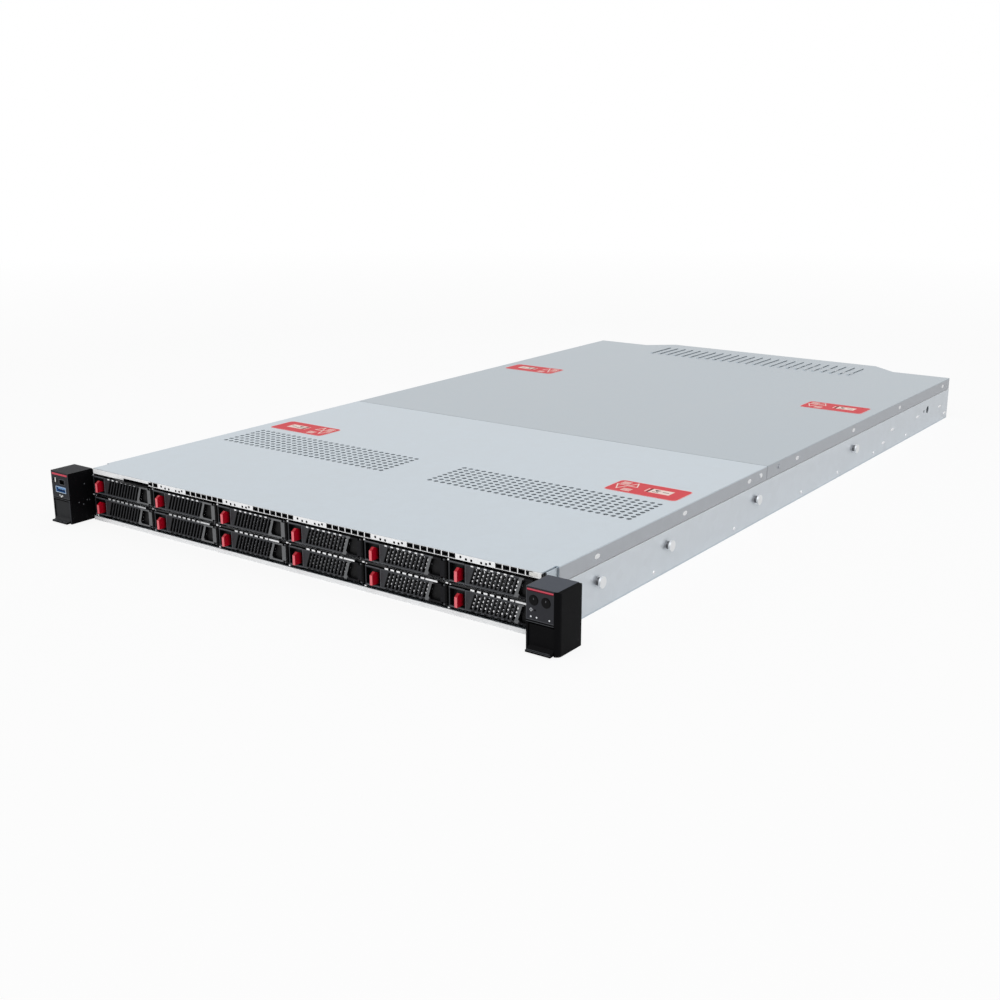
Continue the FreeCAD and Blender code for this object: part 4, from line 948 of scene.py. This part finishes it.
for body, centre in sticker["centres"].items():
    sheet = bmesh.new()
    border = bmesh.new()
    marks = bmesh.new()
    shades = bmesh.new()
    for side in (-1, 1):
        x = side * sticker["outward"]
        corner = sticker["corner"]
        slab(sheet, stickerOutline(x, centre, 0.0, coverTop), upward, sticker["thickness"], corner)
        lifted = stickerOutline(x, centre, sticker["borderInset"], printLayer)
        hoop(border, lifted, sticker["border"], upward, sticker["borderRise"], corner)
        coverMark(marks, x, centre, side)
        coverMarkShade(shades, x, centre, side)
    finish(body + " stickers", sheet, "sticker", body)
    finish(body + " sticker borders", border, "stickerBorder", body)
    finish(body + " sticker marks", marks, "stickerPale", body)
    finish(body + " sticker shades", shades, "dark", body)
print("stickers done")


# White tab at the right end of the fixed cover's flange

endTab = {
    "across": (205.4, 211.6),
    "up": (39.6, 41.9),
    "proud": 0.12,
}
tab = bmesh.new()
block(tab, endTab["across"], (-endTab["proud"], 0.0), endTab["up"])
finish("flange end tab", tab, "paper")


# Rolled marks, rivets and lances in the side walls and strips

sideMarks = {
    "ovalHeight": 37.5,
    "ovalSize": (3.2, 1.7),
    "ovalRise": 0.12,
    "ovals": (60.7, 179.9, 286.0, 377.5, 503.9, 625.4, 757.3),
    "lances": ((585.0, 9.7), (608.0, 18.5), (682.0, 17.8), (752.0, 16.7), (771.0, 6.4)),
    "lanceSize": (4.6, 1.3),
    "lanceRise": 0.5,
    "rivets": (24.0, 136.0, 262.0, 390.0, 470.0, 560.0, 650.0),
    "rivetHeight": 5.0,
    "rivetSize": (1.5, 1.5),
    "rivetRise": 0.35,
    "slope": 0.7,
}
wallOut = boxOf("chassis_tray")[1].x
stripOut = boxOf("front_cover")[1].x
coverSeam = (boxOf("front_cover")[1].y + boxOf("rear_cover")[0].y) / 2


def oval(bm, side, y, z, out, rise, size):
    verts = bmesh.ops.create_cone(
        bm, cap_ends=True, segments=20, radius1=millimetre, radius2=millimetre * sideMarks["slope"],
        depth=rise * millimetre)["verts"]
    turn = upward.rotation_difference(rightward * side).to_matrix()
    bmesh.ops.rotate(bm, cent=(0, 0, 0), matrix=turn, verts=verts)
    bmesh.ops.scale(bm, vec=(1, size[0], size[1]), verts=verts)
    bmesh.ops.translate(bm, vec=at(side * (out + rise / 2), y, z), verts=verts)


frontOvals = bmesh.new()
rearOvals = bmesh.new()
wallMarks = bmesh.new()
for side in (-1, 1):
    for y in sideMarks["ovals"]:
        target = frontOvals if y < coverSeam else rearOvals
        z = sideMarks["ovalHeight"]
        oval(target, side, y, z, stripOut, sideMarks["ovalRise"], sideMarks["ovalSize"])
    for y, z in sideMarks["lances"]:
        oval(wallMarks, side, y, z, wallOut, sideMarks["lanceRise"], sideMarks["lanceSize"])
    for y in sideMarks["rivets"]:
        z = sideMarks["rivetHeight"]
        oval(wallMarks, side, y, z, wallOut, sideMarks["rivetRise"], sideMarks["rivetSize"])
finish("front strip ovals", frontOvals, "bright")
finish("rear strip ovals", rearOvals, "bright", "rear_cover")
finish("wall lances and rivets", wallMarks, "bright")
print("side marks done")


# Small teeth on the levers' outer rims, bright along the top row where the light reaches them

rimTicks = {
    "start": 18.5,
    "pitch": 5.15,
    "count": 7,
    "proud": 0.06,
    "upper": (2.1, 0.9, "white"),
    "lower": (3.0, 0.7, "black"),
}
for index in range(bayCount):
    low, high = boxOf(numbered("carrier_lever", index))
    upper = index < bayColumns
    width, height, paint = rimTicks["upper" if upper else "lower"]
    edge = high.z - height if upper else low.z
    ticks = bmesh.new()
    for i in range(rimTicks["count"]):
        x = low.x - bay["leverStart"] + rimTicks["start"] + i * rimTicks["pitch"]
        block(ticks, (x, x + width), (low.y - rimTicks["proud"], low.y), (edge, edge + height))
    finish(numbered("rim ticks", index), ticks, paint, numbered("lever", index))
print("lever trims done")


# Ears: lamps, icons and button rings on the right one, sockets on the left one, pips on the
# inner sides and ribs on the latches

earDetail = {
    "face": 0.25,
    "inner": 218.0,
    "lamps": (221.5, 225.7, 234.8),
    "lampHeight": 23.2,
    "lamp": (0.55, 0.15),  # radius and height, as for every disc
    "diamond": (221.6, 27.6),
    "diamondSize": 1.3,
    "diamondLine": 0.5,
    "sensorGap": 2.9,
    "sensor": (0.6, 0.1),
    "buttons": {"power_button": 223.5, "id_button": 232.3},
    "buttonHeight": 33.8,
    "collar": 3.35,
    "collarShare": 0.9,
    "collarRise": 0.12,
    "legend": ((-0.2, 0.2), (0.4, 1.5)),
    "legendRise": 0.06,
    "pip": (0.55, 0.12),
    "pips": ((-13.0, 17.0), (-9.0, 14.8), (-5.2, 17.6), (-3.0, 17.2), (-6.5, 31.0)),
    "printRise": 0.08,
    "lampColour": colour(0.80, 0.82, 0.85),
}
earLow = boxOf("right_ear")[0]
earFace = earLow.y + earDetail["face"]
paints["lamp"] = plainPaint("clear lamp", earDetail["lampColour"], 0.25, 0.0, 0.5)
forward = -backward


def buttonCollar(bm, x, z):
    # a thin raised ring round a button
    centre = at(x, earFace, z)
    radius = earDetail["collar"] * millimetre
    outer = bmesh.ops.create_circle(bm, cap_ends=False, segments=32, radius=radius)["verts"]
    turn = upward.rotation_difference(forward).to_matrix()
    bmesh.ops.rotate(bm, cent=(0, 0, 0), matrix=turn, verts=outer)
    bmesh.ops.translate(bm, vec=centre, verts=outer)
    edges = list({e for v in outer for e in v.link_edges})
    grown = bmesh.ops.extrude_edge_only(bm, edges=edges)["geom"]
    inner = [item for item in grown if isinstance(item, bmesh.types.BMVert)]
    share = earDetail["collarShare"]
    bmesh.ops.scale(bm, vec=(share, 1, share), space=Matrix.Translation(-centre), verts=inner)
    ring = [item for item in grown if isinstance(item, bmesh.types.BMFace)]
    thicken(bm, ring, forward, earDetail["collarRise"])


lamps = bmesh.new()
for x in earDetail["lamps"]:
    disc(lamps, at(x, earFace, earDetail["lampHeight"]), forward, *earDetail["lamp"])
finish("ear lamps", lamps, "lamp")
x, z = earDetail["diamond"]
size = earDetail["diamondSize"]
icon = bmesh.new()
points = ((-size, 0), (0, -size), (size, 0), (0, size))
corners = [at(x + dx, earFace, z + dz) for dx, dz in points]
hoop(icon, corners, earDetail["diamondLine"], forward, earDetail["printRise"])
finish("ear diamond icon", icon, "greyPrintAndShade")
sensor = bmesh.new()
disc(sensor, at(x + earDetail["sensorGap"], earFace, z), forward, *earDetail["sensor"])
finish("ear light sensor", sensor, "dark")
z = earDetail["buttonHeight"]
collars = bmesh.new()
for x in earDetail["buttons"].values():
    buttonCollar(collars, x, z)
finish("button collars", collars, "button")
for button, x in earDetail["buttons"].items():
    # a short bar printed on each button's cap
    cap = boxOf(button)[0].y
    across, up = earDetail["legend"]
    legend = bmesh.new()
    block(legend, shifted(across, x), (cap - earDetail["legendRise"], cap), shifted(up, z))
    finish(button + " legend", legend, "dimMark", button)

sockets = {
    "usb": (-228.1, 27.7),
    "usbTongue": (9.2, (1.1, 4.0), (0.1, 1.5), 0.15),  # width, back, up and rounding
    "usbShell": (12.6, 4.8, 0.45, 0.1, 0.3),  # width, height, line, rise and rounding
    "usbPins": 4,
    "usbPitch": 2.2,
    "usbPin": (1.0, (1.0, 3.8), (-0.02, 0.12)),
    "display": (-225.9, 34.2),
    "displayShell": (7.0, 4.6, 0.4, 0.08, 0.5),
    "jack": (-234.1, 35.0),
    "jackTab": (1.1, 3.8, (-0.1, 0.3), 0.1),  # width, height, back and rounding
    "iconPlace": (-228.1, 22.6),
    "iconDots": ((-1.8, 0.6, 0.55), (0.0, -0.4, 0.75), (1.6, 0.5, 0.55)),
    "iconBar": ((-2.2, 2.2), (-0.2, 0.15)),
    "tongueColour": colour(0.10, 0.30, 0.62),
    "shellColour": colour(0.55, 0.68, 0.80),
}
paints["socketBlue"] = plainPaint("blue socket tongue", sockets["tongueColour"], 0.3)
paints["socketRim"] = plainPaint("bright socket shell", sockets["shellColour"], 0.28, 0.5)


def shellEdge(name, socket, paint):
    # a thin frame round a socket's mouth
    x, z = sockets[socket]
    width, height, line, rise, rounding = sockets[socket + "Shell"]
    x0, x1 = around(x, width)
    z0, z1 = around(z, height)
    corners = [at(px, earFace, pz) for px, pz in ((x1, z0), (x0, z0), (x0, z1), (x1, z1))]
    edge = bmesh.new()
    hoop(edge, corners, line, forward, rise, rounding)
    finish(name, edge, paint)


x, z = sockets["usb"]
tongue = bmesh.new()
width, back, up, edge = sockets["usbTongue"]
block(tongue, around(x, width), shifted(back, earLow.y), shifted(up, z), edge)
finish("usb tongue", tongue, "socketBlue")
shellEdge("usb shell edge", "usb", "socketRim")
pins = bmesh.new()
width, back, up = sockets["usbPin"]
for i in range(sockets["usbPins"]):
    middle = x + (i - (sockets["usbPins"] - 1) / 2) * sockets["usbPitch"]
    block(pins, around(middle, width), shifted(back, earLow.y), shifted(up, z))
finish("usb contacts", pins, "gold")
shellEdge("display socket edge", "display", "trim")
jack = bmesh.new()
x, z = sockets["jack"]
width, height, back, edge = sockets["jackTab"]
block(jack, around(x, width), shifted(back, earFace), around(z, height), edge)
finish("jack tab", jack, "paper")
icon = bmesh.new()
x, z = sockets["iconPlace"]
for dx, dz, radius in sockets["iconDots"]:
    disc(icon, at(x + dx, earFace, z + dz), forward, radius, earDetail["printRise"], 10)
across, up = sockets["iconBar"]
depth = (earFace - earDetail["printRise"], earFace)
block(icon, shifted(across, x), depth, shifted(up, z))
finish("usb icon", icon, "paper")
pips = bmesh.new()
for side in (-1, 1):
    for y, z in earDetail["pips"]:
        disc(pips, at(side * earDetail["inner"], y, z), rightward * -side, *earDetail["pip"])
finish("ear inner pips", pips, "trim")
latchRibs = {
    "count": 2,
    "across": (219.8, 236.6),
    "lead": 1.0,
    "pitch": 1.3,
    "width": 0.5,
    "up": (2.6, 2.75),
}
for side, name in ((1, "right"), (-1, "left")):
    lip = boxOf(name + "_ear_latch")[0].y
    ribs = bmesh.new()
    for i in range(latchRibs["count"]):
        y = lip + latchRibs["lead"] + i * latchRibs["pitch"]
        across = [side * x for x in latchRibs["across"]]
        block(ribs, across, (y, y + latchRibs["width"]), latchRibs["up"])
    finish(name + " latch lines", ribs, "trim", name + "_latch")
print("ears done")


# Rivet heads and folded corners of the cage, in the gaps between the bezels, painted matte white as
# highlights, and grey as painted shade on the left

cageSpots = {
    "back": (-0.5, 0.3),
    "edge": 0.2,
    "spots": (
        ((-0.6, 0.6), (36.9, 38.0)),
        ((-2.4, -0.4), (20.9, 21.8)),
        ((0.9, 2.0), (20.7, 21.3)),
        ((-0.7, 0.7), (4.2, 5.2)),
    ),
    "dimX": -100.0,
}
spots = bmesh.new()
shadedSpots = bmesh.new()
for column in range(bayColumns + 1):
    x = bayLeft + column * bayPitch
    target = shadedSpots if x < cageSpots["dimX"] else spots
    for across, up in cageSpots["spots"]:
        block(target, shifted(across, x), cageSpots["back"], up, cageSpots["edge"])
finish("cage rivets", spots, "white")
finish("shaded left cage rivets", shadedSpots, "greyPrintAndShade")
print("cage rivets done")


# Main board: chips, plugs, coils, capacitors, a coin cell, and screws on the heat sinks

boardLow, boardHigh = boxOf("mainboard")
boardDetail = {
    "top": 5.6,
    "chips": (
        (-105.0, 172.0, 16.0), (-70.0, 168.0, 12.0), (70.0, 168.0, 12.0), (105.0, 172.0, 16.0),
        (34.0, 214.0, 24.0), (-34.0, 214.0, 18.0), (112.0, 205.0, 10.0), (-112.0, 250.0, 14.0),
    ),
    "chipHeight": 1.6,
    "plugs": ((-128.0, 190.0, 8.0, 26.0), (128.0, 190.0, 8.0, 26.0), (60.0, 190.0, 22.0, 5.0)),
    "plugHeight": 8.0,
    "capacitors": 9,
    "capacitorFront": 5.0,
    "capacitor": (2.6, 8.0),
    "capacitorTop": (2.08, 0.15),
    "coils": 7,
    "coilFront": 15.0,
    "coilSize": (7.0, 6.0, 5.0),
    "coilEdge": 0.6,
    "pitch": 9.6,
    "cellPlace": (80.0, 232.0),
    "cell": (10.0, 3.2),
    "sinkX": 99.0,
    "sinkFront": 32.0,
    "sinkSize": (76.0, 108.0),
    "sinkTop": 32.6,
    "screwInset": 7.0,
    "screw": (3.0, 2.0),
}


def onBoard(x, y, z=0.0):
    # y counted from the board's front edge, z from its top face
    return at(x, boardLow.y + y, boardDetail["top"] + z)


def boardBlock(bm, across, back, up, edge=0.0):
    block(bm, across, shifted(back, boardLow.y), shifted(up, boardDetail["top"]), edge)


chips = bmesh.new()
for x, y, size in boardDetail["chips"]:
    boardBlock(chips, around(x, size), around(y, size), (0, boardDetail["chipHeight"]))
for x, y, width, length in boardDetail["plugs"]:
    boardBlock(chips, around(x, width), around(y, length), (0, boardDetail["plugHeight"]))
finish("board chips", chips, "black")
coils = bmesh.new()
cans = bmesh.new()
canTops = bmesh.new()
width, length, height = boardDetail["coilSize"]
front = boardDetail["coilFront"]
tall = boardDetail["capacitor"][1]
for side in (-1, 1):
    middle = side * boardDetail["sinkX"]
    for i in range(boardDetail["coils"]):
        x = middle + (i - boardDetail["coils"] // 2) * boardDetail["pitch"]
        back = (front, front + length)
        boardBlock(coils, around(x, width), back, (0, height), boardDetail["coilEdge"])
    for i in range(boardDetail["capacitors"]):
        x = middle + (i - boardDetail["capacitors"] // 2) * boardDetail["pitch"]
        y = boardDetail["capacitorFront"]
        disc(cans, onBoard(x, y), upward, *boardDetail["capacitor"], 16)
        disc(canTops, onBoard(x, y, tall), upward, *boardDetail["capacitorTop"], 16)
finish("board coils", coils, "trim")
finish("board capacitors", cans, "bright")
finish("capacitor tops", canTops, "black")
cell = bmesh.new()
disc(cell, onBoard(*boardDetail["cellPlace"]), upward, *boardDetail["cell"], 32)
finish("coin cell", cell, "bright")
sinkScrews = bmesh.new()
width, length = boardDetail["sinkSize"]
inset = boardDetail["screwInset"]
lift = boardDetail["sinkTop"] - boardDetail["top"]
for side in (-1, 1):
    for dx in (inset - width / 2, width / 2 - inset):
        for dy in (inset, length - inset):
            x = side * boardDetail["sinkX"] + dx
            place = onBoard(x, boardDetail["sinkFront"] + dy, lift)
            disc(sinkScrews, place, upward, *boardDetail["screw"], 20)
finish("heat sink screws", sinkScrews, "bright")
print("main board parts done")


# Memory: chips on every module and a latch at each end of its socket

memory = {
    "starts": (2.0, 139.0, -57.0, -194.0),
    "count": 8,
    "pitch": 7.0,
    "sheet": 1.3,
    "lead": 2.35,
    "front": 20.0,
    "length": 133.35,
    "chips": 10,
    "chipWidth": 8.5,
    "chipRise": 0.9,
    "chipUp": (11.0, 22.0),
    "latch": (2.2, 2.6),
    "latchUp": (7.0, 20.0),
    "latchGap": 0.2,
}
modules = bmesh.new()
latches = bmesh.new()
step = memory["length"] / memory["chips"]
width, length = memory["latch"]
gap = memory["latchGap"]
ends = (memory["front"] - length - gap, memory["front"] + memory["length"] + gap)
for start in memory["starts"]:
    for i in range(memory["count"]):
        x = start + memory["lead"] + i * memory["pitch"]
        right = x + memory["sheet"]
        for j in range(memory["chips"]):
            back = around(memory["front"] + (j + 0.5) * step, memory["chipWidth"])
            boardBlock(modules, (right, right + memory["chipRise"]), back, memory["chipUp"])
        for y in ends:
            across = around(x + memory["sheet"] / 2, width)
            boardBlock(latches, across, (y, y + length), memory["latchUp"])
finish("memory chips", modules, "black")
finish("memory latches", latches, "paper")
print("memory parts done")


# Fans: a screw at each housing corner, a label on each hub, and cable runs beside the fan wall

fans = {
    "count": 5,
    "screwOffset": 17.6,
    "screw": (1.5, 0.5),
    "hub": (7.6, 0.15),
    "hubCap": (2.2, 0.35),
}
cable = {
    "count": 4,
    "radius": 1.3,
    "x": 208.6,
    "step": 2.8,
    "low": 8.0,
    "plug": (4.4, 9.0),
    "plugUp": (6.0, 18.4),
    "plugEdge": 0.4,
}
planeBack = boxOf("drive_backplane")[1].y
housingBack = boxOf("fan_housings")[1].y
fanScrews = bmesh.new()
for index in range(fans["count"]):
    rotor = "fan_rotor_" + str(index + 1)
    low, high = boxOf(rotor)
    centre = (low + high) / 2
    hub = at(centre.x, low.y, centre.z)
    label = bmesh.new()
    disc(label, hub, forward, *fans["hub"], 32)
    disc(label, hub, forward, *fans["hubCap"], 24)
    finish(rotor + " label", label, "trim", rotor)
    for dx in (-fans["screwOffset"], fans["screwOffset"]):
        for dz in (-fans["screwOffset"], fans["screwOffset"]):
            disc(fanScrews, at(centre.x + dx, housingBack, centre.z + dz), backward, *fans["screw"])
finish("fan screws", fanScrews, "bright")
cables = bmesh.new()
plugs = bmesh.new()
width, length = cable["plug"]
for side in (-1, 1):
    x = side * cable["x"]
    for i in range(cable["count"]):
        start = at(x, planeBack, cable["low"] + i * cable["step"])
        disc(cables, start, backward, cable["radius"], boardLow.y - planeBack)
    for y in (planeBack, boardLow.y - length):
        block(plugs, around(x, width), (y, y + length), cable["plugUp"], cable["plugEdge"])
finish("side cables", cables, "black")
finish("side cable plugs", plugs, "trim")
planeChips = {
    "places": ((14.0, 9.0), (27.0, 6.0)),
    "height": 1.2,
}
chips = bmesh.new()
for column in range(bayColumns):
    x = bayLeft + (column + 0.5) * bayPitch
    for z, size in planeChips["places"]:
        block(chips, around(x, size), (planeBack, planeBack + planeChips["height"]), (z, z + size))
finish("backplane chips", chips, "black")
print("fans and cables done")


# Back: contacts and lamps in the sockets, screws beside the blanks, and on each supply a lamp
# and a latch

rear = {
    "network": (-52.0, -34.0),
    "contacts": 8,
    "contactStart": -3.9,
    "contactWidth": 0.5,
    "contactBack": (-10.0, -2.0),
    "contactUp": (15.2, 15.7),
    "lampSide": 5.0,
    "lampWidth": 1.6,
    "lampBack": (-1.4, -0.3),
    "lampUp": (13.6, 14.8),
    "screws": (13.2, 114.8),
    "screwHeight": 31.0,
    "screwSetback": 1.4,
    "screw": (0.9, 0.5),
    "supplyLamp": (36.0, 6.5),
    "supplyLampSize": (1.2, 0.3),
    "latch": ((-7.0, -3.0), (0.0, 10.0), (28.0, 36.0)),
    "latchEdge": 0.6,
}
contacts = bmesh.new()
socketLamps = bmesh.new()
for middle in rear["network"]:
    for i in range(rear["contacts"]):
        left = middle + rear["contactStart"] + i
        back = shifted(rear["contactBack"], boardHigh.y)
        block(contacts, (left, left + rear["contactWidth"]), back, rear["contactUp"])
    for x in (middle - rear["lampSide"], middle + rear["lampSide"]):
        back = shifted(rear["lampBack"], boardHigh.y)
        block(socketLamps, around(x, rear["lampWidth"]), back, rear["lampUp"])
finish("network contacts", contacts, "gold")
finish("network lamps", socketLamps, "lampGreen")
blankScrews = bmesh.new()
for side in (-1, 1):
    for x in rear["screws"]:
        place = at(side * x, boardHigh.y - rear["screwSetback"], rear["screwHeight"])
        disc(blankScrews, place, forward, *rear["screw"])
finish("blank screws", blankScrews, "bright")
for name in ("left", "right"):
    low, high = boxOf(name + "_power_supply")
    case = high.y - innerPlaces["handleReach"]
    x, z = rear["supplyLamp"]
    lamp = bmesh.new()
    disc(lamp, at(low.x + x, case, z), backward, *rear["supplyLampSize"], 16)
    finish(name + " supply lamp", lamp, "lampGreen", name + "_supply")
    across, back, up = rear["latch"]
    latch = bmesh.new()
    block(latch, shifted(across, high.x), shifted(back, case), up, rear["latchEdge"])
    finish(name + " supply latch", latch, "tabRed", name + "_supply")
print("rear parts done")


# Floor, light and camera

studio = {
    "floorSize": 30.0,
    "floorColour": colour(0.86, 0.86, 0.86),
    "floorGlow": 0.88,
    "floorFade": (0.9, 2.2),
    "fill": 0.62,
    "keyPower": 46.0,
    "keySize": 3.2,
    "keyPlace": (1.6, -2.2, 2.9),
    "sidePower": 16.0,
    "sideSize": 2.4,
    "sidePlace": (3.4, 0.6, 1.4),
    "frontPower": 9.0,
    "frontSize": 1.6,
    "frontPlace": (-1.5, -2.6, 0.55),
    "lens": 46.85,
    "cameraPlace": (0.63075, -1.00971, 0.30505),
    "cameraDown": 16.12,
    "cameraTurn": 35.76,
}


def stageFloor():
    sheet = bmesh.new()
    bmesh.ops.create_grid(sheet, x_segments=1, y_segments=1, size=studio["floorSize"] / 2)
    shader = Shader("pale floor")
    plain = shader.node("ShaderNodeBsdfDiffuse", None, {"Color": studio["floorColour"]})
    glow = shader.node("ShaderNodeEmission", None, {"Color": colour(1, 1, 1), "Strength": 1.0})
    ray = shader.node("ShaderNodeLightPath", None, (), "Is Camera Ray")
    point = shader.objectPoint()
    away = shader.node("ShaderNodeVectorMath", {"operation": "LENGTH"}, [point], "Value")
    far = shader.rising(away, *studio["floorFade"])
    white = studio["floorGlow"] + far * (1 - studio["floorGlow"])
    surface = shader.node("ShaderNodeMixShader", None, [ray * white, plain, glow])
    shader.node("ShaderNodeOutputMaterial", None, {"Surface": surface})
    floor = addMesh("floor", sheet, shader.owner)


def skyLight():
    shader = Shader("soft white room", bpy.data.worlds)
    bpy.context.scene.world = shader.owner
    camera = shader.node("ShaderNodeLightPath", None, (), "Is Camera Ray")
    glossy = shader.node("ShaderNodeLightPath", None, (), "Is Glossy Ray")
    values = {"Value": either(camera, glossy), "To Min": studio["fill"], "To Max": 1.0}
    strength = shader.node("ShaderNodeMapRange", None, values)
    values = {"Color": colour(1, 1, 1), "Strength": strength}
    background = shader.node("ShaderNodeBackground", None, values)
    shader.node("ShaderNodeOutputWorld", None, {"Surface": background})


def softLamp(name, place, power, size):
    light = bpy.data.lights.new(name, "AREA")
    light.energy = power
    light.size = size
    lamp = addObject(name, light)
    lamp.location = place
    lamp.rotation_euler = (-Vector(place)).to_track_quat("-Z", "Y").to_euler()


def placeCamera():
    camera = addObject("camera", bpy.data.cameras.new("camera"))
    camera.data.lens = studio["lens"]
    camera.data.sensor_width = 36.0
    camera.location = studio["cameraPlace"]
    tilt = math.radians(90 - studio["cameraDown"])
    camera.rotation_euler = (tilt, 0, math.radians(studio["cameraTurn"]))
    bpy.context.scene.camera = camera


stageFloor()
skyLight()
softLamp("key lamp", studio["keyPlace"], studio["keyPower"], studio["keySize"])
softLamp("side lamp", studio["sidePlace"], studio["sidePower"], studio["sideSize"])
softLamp("front lamp", studio["frontPlace"], studio["frontPower"], studio["frontSize"])
placeCamera()
bpy.context.scene.view_settings.view_transform = "Standard"
print("stage, lamps and camera done")
